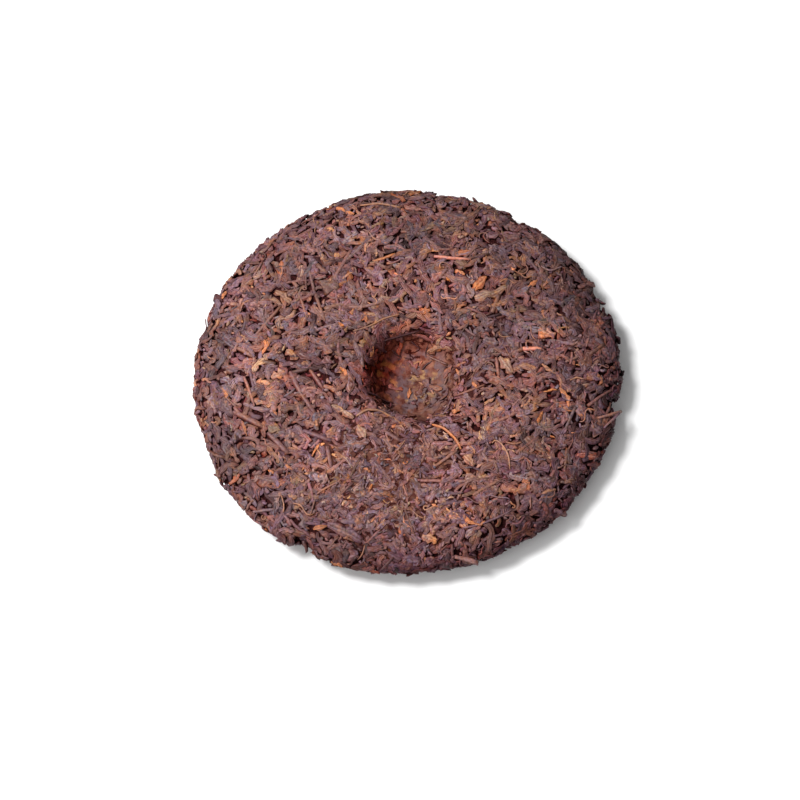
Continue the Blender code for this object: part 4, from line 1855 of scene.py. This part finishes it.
LITTER = {
    Kind.FILLER: Litter(
        kind=Kind.FILLER, section=Sections.PLAIN, count=7000, stations=5, length=(4 * MM, 10 * MM),
        width=(1.8 * MM, 3.4 * MM), thickness=(1.2 * MM, 1.8 * MM), top=(-1.6 * MM, -0.55 * MM), bend=0.8,
        wave=0.4, twist=0.6, taper=(0.3, 0.7), fullness=2.5, rough=0.16, ragged=0.14, crumple=0.15 * MM,
        dip=0.3 * MM, tones=DARK_MIX, hollow_share=0.06,
    ),
    Kind.ROLLED: Litter(
        kind=Kind.ROLLED, section=Sections.RIDGED, count=8000, stations=8, length=(5.5 * MM, 15.5 * MM),
        width=(1.8 * MM, 4.4 * MM), thickness=(1.0 * MM, 1.7 * MM), top=(-0.62 * MM, 0.12 * MM), bend=1.0,
        wave=0.6, twist=0.5, taper=(0.15, 0.65), fullness=2.4, rough=0.20, ragged=0.22, crumple=0.17 * MM,
        dip=0.5 * MM, tones=LEAF_MIX, hollow_share=0.04, rim_lift=2.3 * MM, loose=1.5 * MM,
    ),
    Kind.STEM: Litter(
        kind=Kind.STEM, section=Sections.ROUND, count=380, stations=5, length=(6 * MM, 18 * MM),
        width=(1.4 * MM, 2.6 * MM), thickness=(1.3 * MM, 2.4 * MM), top=(-0.25 * MM, 0.35 * MM), bend=0.2,
        wave=0.08, twist=0.4, taper=(0.75, 0.95), fullness=5.0, rough=0.06, ragged=0.06, crumple=0.05 * MM,
        dip=0.3 * MM, tones=((Tone.UMBER, 0.35), (Tone.RED, 0.40), (Tone.GREY, 0.10), (Tone.PLUM, 0.15)),
        hollow_share=0.05, rim_lift=1.4 * MM, loose=1.0 * MM,
    ),
    Kind.FLAKE: Litter(
        kind=Kind.FLAKE, section=Sections.PLATE, count=1500, stations=7, length=(6 * MM, 12 * MM),
        width=(3.2 * MM, 6.2 * MM), thickness=(0.7 * MM, 1.1 * MM), top=(-0.50 * MM, 0.05 * MM), bend=0.6,
        wave=0.3, twist=0.25, taper=(0.25, 0.7), fullness=2.0, rough=0.24, ragged=0.32, crumple=0.26 * MM,
        dip=0.4 * MM,
        tones=(
            (Tone.PLUM, 0.28), (Tone.UMBER, 0.34), (Tone.SLATE, 0.12), (Tone.GREY, 0.10), (Tone.STRAW, 0.05),
            (Tone.TAN, 0.03), (Tone.RED, 0.08),
        ),
        hollow_share=0.50, mash_share=1.8, rim_lift=1.0 * MM,
    ),
    Kind.BUD: Litter(
        kind=Kind.BUD, section=Sections.RIDGED, count=230, stations=6, length=(3 * MM, 8 * MM),
        width=(1.2 * MM, 2.4 * MM), thickness=(0.7 * MM, 1.1 * MM), top=(-0.3 * MM, 0.15 * MM), bend=0.9,
        wave=0.5, twist=0.5, taper=(0.2, 0.5), fullness=2.0, rough=0.24, ragged=0.28, crumple=0.15 * MM,
        dip=0.4 * MM, tones=((Tone.ORANGE, 0.20), (Tone.TAN, 0.50), (Tone.RED, 0.30)), hollow_share=0.25,
    ),
    Kind.THREAD: Litter(
        kind=Kind.THREAD, section=Sections.COARSE, count=380, stations=10, length=(5 * MM, 14 * MM),
        width=(0.7 * MM, 1.2 * MM), thickness=(0.6 * MM, 0.9 * MM), top=(0.0 * MM, 0.45 * MM), bend=1.9,
        wave=0.6, twist=0.5, taper=(0.3, 0.8), fullness=4.0, rough=0.08, ragged=0.10, crumple=0.05 * MM,
        dip=0.5 * MM,
        tones=((Tone.UMBER, 0.30), (Tone.PLUM, 0.20), (Tone.RED, 0.26), (Tone.TAN, 0.20), (Tone.GREY, 0.04)),
        hollow_share=0.12, rim_lift=1.5 * MM,
    ),
    Kind.CRUMB: Litter(
        kind=Kind.CRUMB, section=Sections.PLAIN, count=6400, stations=4, length=(1.6 * MM, 4.2 * MM),
        width=(1.1 * MM, 2.6 * MM), thickness=(0.7 * MM, 1.4 * MM), top=(-0.7 * MM, 0.05 * MM), bend=0.5,
        wave=0.3, twist=0.6, taper=(0.3, 0.7), fullness=2.2, rough=0.22, ragged=0.20, crumple=0.08 * MM,
        dip=0.2 * MM, tones=(*LEAF_MIX, (Tone.ORANGE, 0.02)), hollow_share=0.12, mash_share=2.2,
    ),
}

LANDMARKS = {
    Kind.ROLLED: marks(
        (Tone.GREY, 2.8, (353, 340, 359, 353, 363, 367), 0.5),
        (Tone.PLUM, 2.6, (349, 366, 357, 375, 362, 386), 0.3),
        (Tone.UMBER, 2.2, (371, 352, 373, 345, 376, 337), 0.2),
        (Tone.PLUM, 2.8, (554, 510, 561, 513, 566, 515), 0.5, 2.6),
        (Tone.BLACK, 3.2, (276, 531, 282, 537, 288, 541), 0.5, 2.6),
        (Tone.UMBER, 3.0, (578, 287, 586, 285, 592, 287), 0.5, 2.0),
        (Tone.PLUM, 2.6, (596, 300, 601, 301, 604, 305), 0.5, 2.2),
        (Tone.GREY, 2.4, (365, 268, 376, 274, 388, 270), 0.1),
        (Tone.UMBER, 2.6, (396, 267, 402, 281, 414, 297), 0.2),
        (Tone.RED, 2.6, (391, 257, 400, 252, 412, 249), 0.1),
    ),
    Kind.STEM: marks(
        (Tone.PINK, 1.7, (434, 256, 452, 258, 471, 259), 0.4), (Tone.RED, 2.6, (499, 294, 492, 312), 0.3),
        (Tone.PINK, 2.2, (523, 348, 542, 348), 0.3), (Tone.RED, 2.0, (256, 334, 281, 305), 0.1),
        (Tone.UMBER, 2.4, (334, 278, 351, 250), 0.2), (Tone.UMBER, 3.0, (290, 371, 301, 393, 315, 413), 0.0),
        (Tone.UMBER, 2.2, (310, 369, 323, 388), -0.1), (Tone.UMBER, 3.0, (233, 411, 248, 418, 263, 426), 0.2),
        (Tone.UMBER, 3.0, (268, 432, 278, 443, 288, 453), 0.2), (Tone.PLUM, 2.6, (303, 430, 331, 440), 0.1),
        (Tone.UMBER, 2.4, (327, 446, 331, 467), 0.1), (Tone.UMBER, 2.8, (384, 430, 400, 440), 0.1),
        (Tone.RED, 1.8, (435, 466, 457, 450), 0.2), (Tone.RED, 2.0, (473, 495, 501, 479), 0.3),
        (Tone.GREY, 1.6, (253, 512, 275, 509), 0.3),
        (Tone.RED, 1.5, (598, 418, 607, 416, 616, 413), 0.6, 3.0),
        (Tone.PLUM, 1.2, (604, 428, 610, 421, 614, 415), 0.6, 3.2),
        (Tone.UMBER, 2.2, (455, 557, 466, 559, 476, 560), 0.6, 3.2),
        (Tone.BLACK, 2.0, (303, 541, 307, 548, 309, 551), 0.5, 2.2),
    ),
    Kind.FLAKE: marks(
        (Tone.STRAW, 5.0, (475, 298, 490, 294, 507, 286), -0.05),
        (Tone.TAN, 5.5, (275, 291, 291, 302), -0.05), (Tone.TAN, 5.0, (271, 377, 285, 372), -0.05),
        (Tone.TAN, 4.5, (286, 350, 297, 359), -0.05),
        (Tone.STRAW, 3.6, (331, 405, 342, 409, 353, 418), -0.05),
        (Tone.STRAW, 4.6, (357, 425, 365, 438), -0.05),
        (Tone.GREY, 3.0, (322, 424, 333, 421, 344, 426), -0.05),
        (Tone.PLUM, 7.0, (327, 524, 345, 532, 362, 541), -0.05), (Tone.TAN, 5.0, (464, 455, 474, 465), -0.05),
        (Tone.TAN, 5.0, (422, 536, 437, 541), -0.05), (Tone.GREY, 5.0, (483, 339, 498, 343), -0.05),
        (Tone.STRAW, 5.5, (500, 356, 512, 372), -0.05), (Tone.ORANGE, 4.6, (474, 290, 486, 276), -0.05),
        (Tone.ORANGE, 2.6, (455, 270, 465, 274), -0.05), (Tone.TAN, 3.4, (427, 353, 433, 350, 440, 347), 0.0),
        (Tone.STRAW, 2.2, (434, 348, 438, 342, 443, 336), 0.1),
        (Tone.TAN, 2.2, (439, 348, 445, 347, 452, 350), 0.0),
    ),
    Kind.BUD: marks(
        (Tone.ORANGE, 2.0, (528, 287, 538, 279), 0.2), (Tone.TAN, 1.4, (542, 364, 549, 370, 556, 374), 0.3),
        (Tone.ORANGE, 1.8, (456, 369, 459, 375), 0.3), (Tone.ORANGE, 1.8, (472, 382, 477, 388), 0.2),
        (Tone.ORANGE, 2.4, (336, 207, 345, 211), 0.3), (Tone.ORANGE, 2.2, (346, 212, 354, 214), 0.3),
        (Tone.ORANGE, 1.6, (338, 322, 344, 326), 0.2), (Tone.ORANGE, 1.5, (365, 312, 367, 320), 0.2),
        (Tone.ORANGE, 2.2, (340, 367, 348, 376), 0.3), (Tone.ORANGE, 2.2, (221, 299, 226, 291), 0.2),
        (Tone.ORANGE, 1.5, (242, 421, 247, 436), 0.2), (Tone.ORANGE, 1.4, (273, 410, 277, 415), 0.2),
        (Tone.ORANGE, 2.0, (285, 465, 292, 469), 0.2), (Tone.ORANGE, 1.5, (268, 470, 274, 473), 0.2),
        (Tone.TAN, 2.2, (288, 495, 297, 498), 0.2), (Tone.ORANGE, 1.5, (312, 456, 316, 449, 320, 443), 0.2),
        (Tone.ORANGE, 1.8, (364, 468, 370, 472), 0.2), (Tone.ORANGE, 1.6, (368, 492, 372, 484), 0.2),
        (Tone.ORANGE, 2.4, (313, 529, 327, 526), 0.3), (Tone.ORANGE, 2.6, (331, 562, 343, 567), 0.3),
        (Tone.ORANGE, 1.9, (222, 388, 229, 398), 0.3),
        (Tone.ORANGE, 2.4, (463, 515, 468, 521, 475, 524), 0.4), (Tone.RED, 2.2, (472, 482, 477, 490), 0.2),
        (Tone.TAN, 2.2, (484, 405, 495, 397), 0.2), (Tone.TAN, 1.5, (457, 409, 459, 400), 0.2),
        (Tone.ORANGE, 1.6, (538, 423, 543, 411), 0.2), (Tone.ORANGE, 1.6, (577, 413, 583, 416), 0.2),
        (Tone.TAN, 1.8, (542, 493, 556, 489), 0.2), (Tone.ORANGE, 1.5, (432, 504, 438, 507), 0.2),
        (Tone.ORANGE, 1.8, (433, 514, 437, 521), 0.2), (Tone.ORANGE, 1.6, (408, 397, 410, 386), 0.2),
        (Tone.TAN, 1.4, (419, 381, 423, 384), 0.2), (Tone.TAN, 1.0, (431, 389, 434, 394), 0.2),
        (Tone.TAN, 1.0, (414, 393, 417, 398), 0.2), (Tone.ORANGE, 1.8, (371, 357, 374, 346), 0.2),
    ),
    Kind.THREAD: marks(
        (Tone.GREY, 1.2, (541, 266, 550, 271, 563, 266), 0.4),
        (Tone.TAN, 1.0, (570, 380, 577, 377, 584, 379), 0.3),
        (Tone.TAN, 1.7, (360, 205, 380, 203, 400, 207), 0.3),
        (Tone.ORANGE, 1.7, (371, 261, 384, 258, 395, 253), 0.2),
        (Tone.TAN, 1.1, (353, 331, 370, 326, 384, 318, 400, 314), 0.3),
        (Tone.RED, 1.2, (240, 312, 243, 303, 252, 299), 0.3),
        (Tone.RED, 1.0, (310, 516, 313, 506, 316, 496), 0.3),
        (Tone.ORANGE, 1.3, (475, 524, 480, 525, 485, 521), 0.4),
        (Tone.PLUM, 1.3, (463, 528, 482, 524, 499, 517, 513, 509), 0.3),
        (Tone.ORANGE, 1.7, (432, 424, 443, 427, 450, 433, 458, 441, 461, 449), 0.4),
        (Tone.TAN, 1.0, (492, 443, 495, 438, 504, 446, 509, 456, 510, 469), 0.4),
        (Tone.RED, 1.0, (506, 442, 514, 444, 522, 442), 0.4), (Tone.RED, 1.4, (447, 376, 444, 384), 0.1),
        (Tone.RED, 1.3, (426, 355, 436, 360, 446, 364), -0.1),
        (Tone.BLACK, 1.5, (384, 341, 396, 337, 408, 334, 419, 331), 0.2),
        (Tone.BLACK, 1.7, (366, 391, 378, 396, 392, 401), 0.0),
        (Tone.BLACK, 0.8, (397, 360, 404, 357, 411, 358), -0.3),
        (Tone.BLACK, 1.2, (422, 368, 426, 363, 432, 361), -0.2),
        (Tone.BLACK, 1.1, (434, 379, 442, 374, 445, 366), -0.25),
        (Tone.BLACK, 0.7, (431, 372, 436, 380, 444, 384), -0.3),
        (Tone.BLACK, 0.7, (428, 345, 425, 353, 427, 361), -0.3),
        (Tone.BLACK, 0.8, (393, 351, 402, 357, 408, 366), -0.3),
        (Tone.BLACK, 0.8, (408, 338, 413, 344, 420, 349), -0.3),
        (Tone.BLACK, 0.8, (397, 407, 402, 405, 408, 406), -0.3),
        (Tone.TAN, 1.6, (356, 416, 366, 409, 380, 410, 394, 418), 0.4),
    ),
}


@dataclass(frozen=True)
class TeaSurface:
    """All the leaves of the cake, thrown, sorted and swept into pieces."""

    litter: dict[Kind, Litter]
    landmarks: Landmarks
    pile: Pile = field(default_factory=Pile)

    def build(self, form: CakeForm, rng: Random) -> list[bpy.types.Object]:
        """Builds every piece of leaves.

        Args:
            form: The cake's form.
            rng: The seeded generator.

        Returns:
            The pieces.
        """
        batches = []
        for kind, litter in self.litter.items():
            batch = litter.throw(form, rng)
            heroes = self.landmarks.leaves(kind, litter, form, rng)
            batches.append(batch if heroes is None else batch.joined(heroes))
        kept = [batch.only(mask) for batch, mask in zip(batches, self.pile.seen(form, batches))]
        pieces = []
        for thrown, leaves in zip(batches, kept):
            each = triangles_each(leaves.section, leaves.lift.shape[1])
            parts = max(1, math.ceil(len(leaves) * each / PIECE_LIMIT))
            order = rng.permutation(len(leaves))
            finish = FINISHES[leaves.kind].build()
            for k, chosen in enumerate(np.array_split(order, parts)):
                name = f"{leaves.kind.value}_{k + 1}" if parts > 1 else leaves.kind.value
                piece = swept_object(name, leaves.only(chosen), form, rng)
                piece.data.materials.append(finish)
                pieces.append(piece)
                count = len(chosen)
                LOG.info("%s: %d of %d kept, %d triangles", name, count, len(thrown), count * each)
        return pieces


FINISHES = {
    Kind.FILLER: LeafFinish("under_leaf", dust_and_sheen=0.08, crest_highlight=(0.12, 0.30, 0.28), specular=0.10),
    Kind.ROLLED: LeafFinish("rolled_leaf"),
    Kind.STEM: LeafFinish(
        "tea_stem", streak=0.40, crest_highlight=(0.08, 0.20, 0.20), fold_shade_tint=(0.58, 0.40, 0.40), bump=0.4
    ),
    Kind.FLAKE: LeafFinish("flat_leaf", streak=0.40, blotch=0.40, rust=0.72, bump=0.5),
    Kind.BUD: LeafFinish("gold_bud", streak=0.45, blotch=0.45, dust_and_sheen=0.05, fold_shade_tint=(0.60, 0.50, 0.48)),
    Kind.THREAD: LeafFinish("thread_leaf", streak=0.20, fold_shade_tint=(0.70, 0.60, 0.60)),
    Kind.CRUMB: LeafFinish("crumb_leaf", streak=0.30, blotch=0.40),
}


@dataclass(frozen=True)
class Studio:
    """A pale floor, a soft key light from the upper left, and an even pale surround."""

    floor_half: float = 3.0
    floor_colour: Colour = (0.86, 0.86, 0.86)
    floor_roughness: float = 0.9
    floor_specular: float = 0.1
    key_place: Point = (-0.86, 0.15, 1.35)
    key_size: float = 0.56
    key_power: float = 35.2
    fill_place: Point = (-0.60, -0.85, 1.00)
    fill_size: float = 1.0
    fill_power: float = 7.0
    surround: float = 0.34

    def build(self) -> None:
        """Builds the floor, the lights and the surround."""
        half = self.floor_half
        verts = np.array([(-half, -half, 0), (half, -half, 0), (half, half, 0), (-half, half, 0)], float)
        floor = add_mesh("floor", verts, np.arange(4), np.array([4]))
        sheet = NodeSheet.fresh("pale_floor")
        sheet.shader.inputs["Base Color"].default_value = (*self.floor_colour, 1.0)
        sheet.shader.inputs["Roughness"].default_value = self.floor_roughness
        sheet.shader.inputs["Specular IOR Level"].default_value = self.floor_specular
        floor.data.materials.append(sheet.material)
        self.light("key_light", self.key_place, self.key_size, self.key_power)
        self.light("fill_light", self.fill_place, self.fill_size, self.fill_power)
        world = bpy.data.worlds.new("studio")
        world.use_nodes = True
        background = world.node_tree.nodes["Background"]
        background.inputs["Color"].default_value = (1.0, 1.0, 1.0, 1.0)
        background.inputs["Strength"].default_value = self.surround
        bpy.context.scene.world = world
        bpy.context.scene.view_settings.view_transform = "Standard"

    def light(self, name: str, place: Point, size: float, power: float) -> None:
        """Adds a soft area light that faces the cake.

        Args:
            name: The light's name.
            place: Where it is.
            size: The side of its square.
            power: Its power in watts.
        """
        data = bpy.data.lights.new(name, "AREA")
        data.size = size
        data.energy = power
        lamp = bpy.data.objects.new(name, data)
        bpy.context.scene.collection.objects.link(lamp)
        lamp.location = place
        lamp.rotation_euler = Vector(place).to_track_quat("Z", "Y").to_euler()


def main() -> None:
    """Builds the dressed cake, its studio and its camera, in order."""
    logging.basicConfig(level=logging.INFO, format="%(message)s")
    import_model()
    rng = np.random.default_rng(SEED)
    form = CakeForm()
    camera = PhotoCamera()
    camera.build()
    Studio().build()
    core = Core().build(form, rng)
    core.data.materials.append(CoreFinish().build())
    surface = TeaSurface(LITTER, Landmarks(LANDMARKS, camera))
    pieces = [core, *surface.build(form, rng)]
    for piece in pieces:
        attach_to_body(piece, BODY)
        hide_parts(NODE)
    total = sum(sum(face.loop_total - 2 for face in piece.data.polygons) for piece in pieces)
    LOG.info("%d pieces, %d triangles in all", len(pieces), total)


if __name__ == "__main__":
    main()
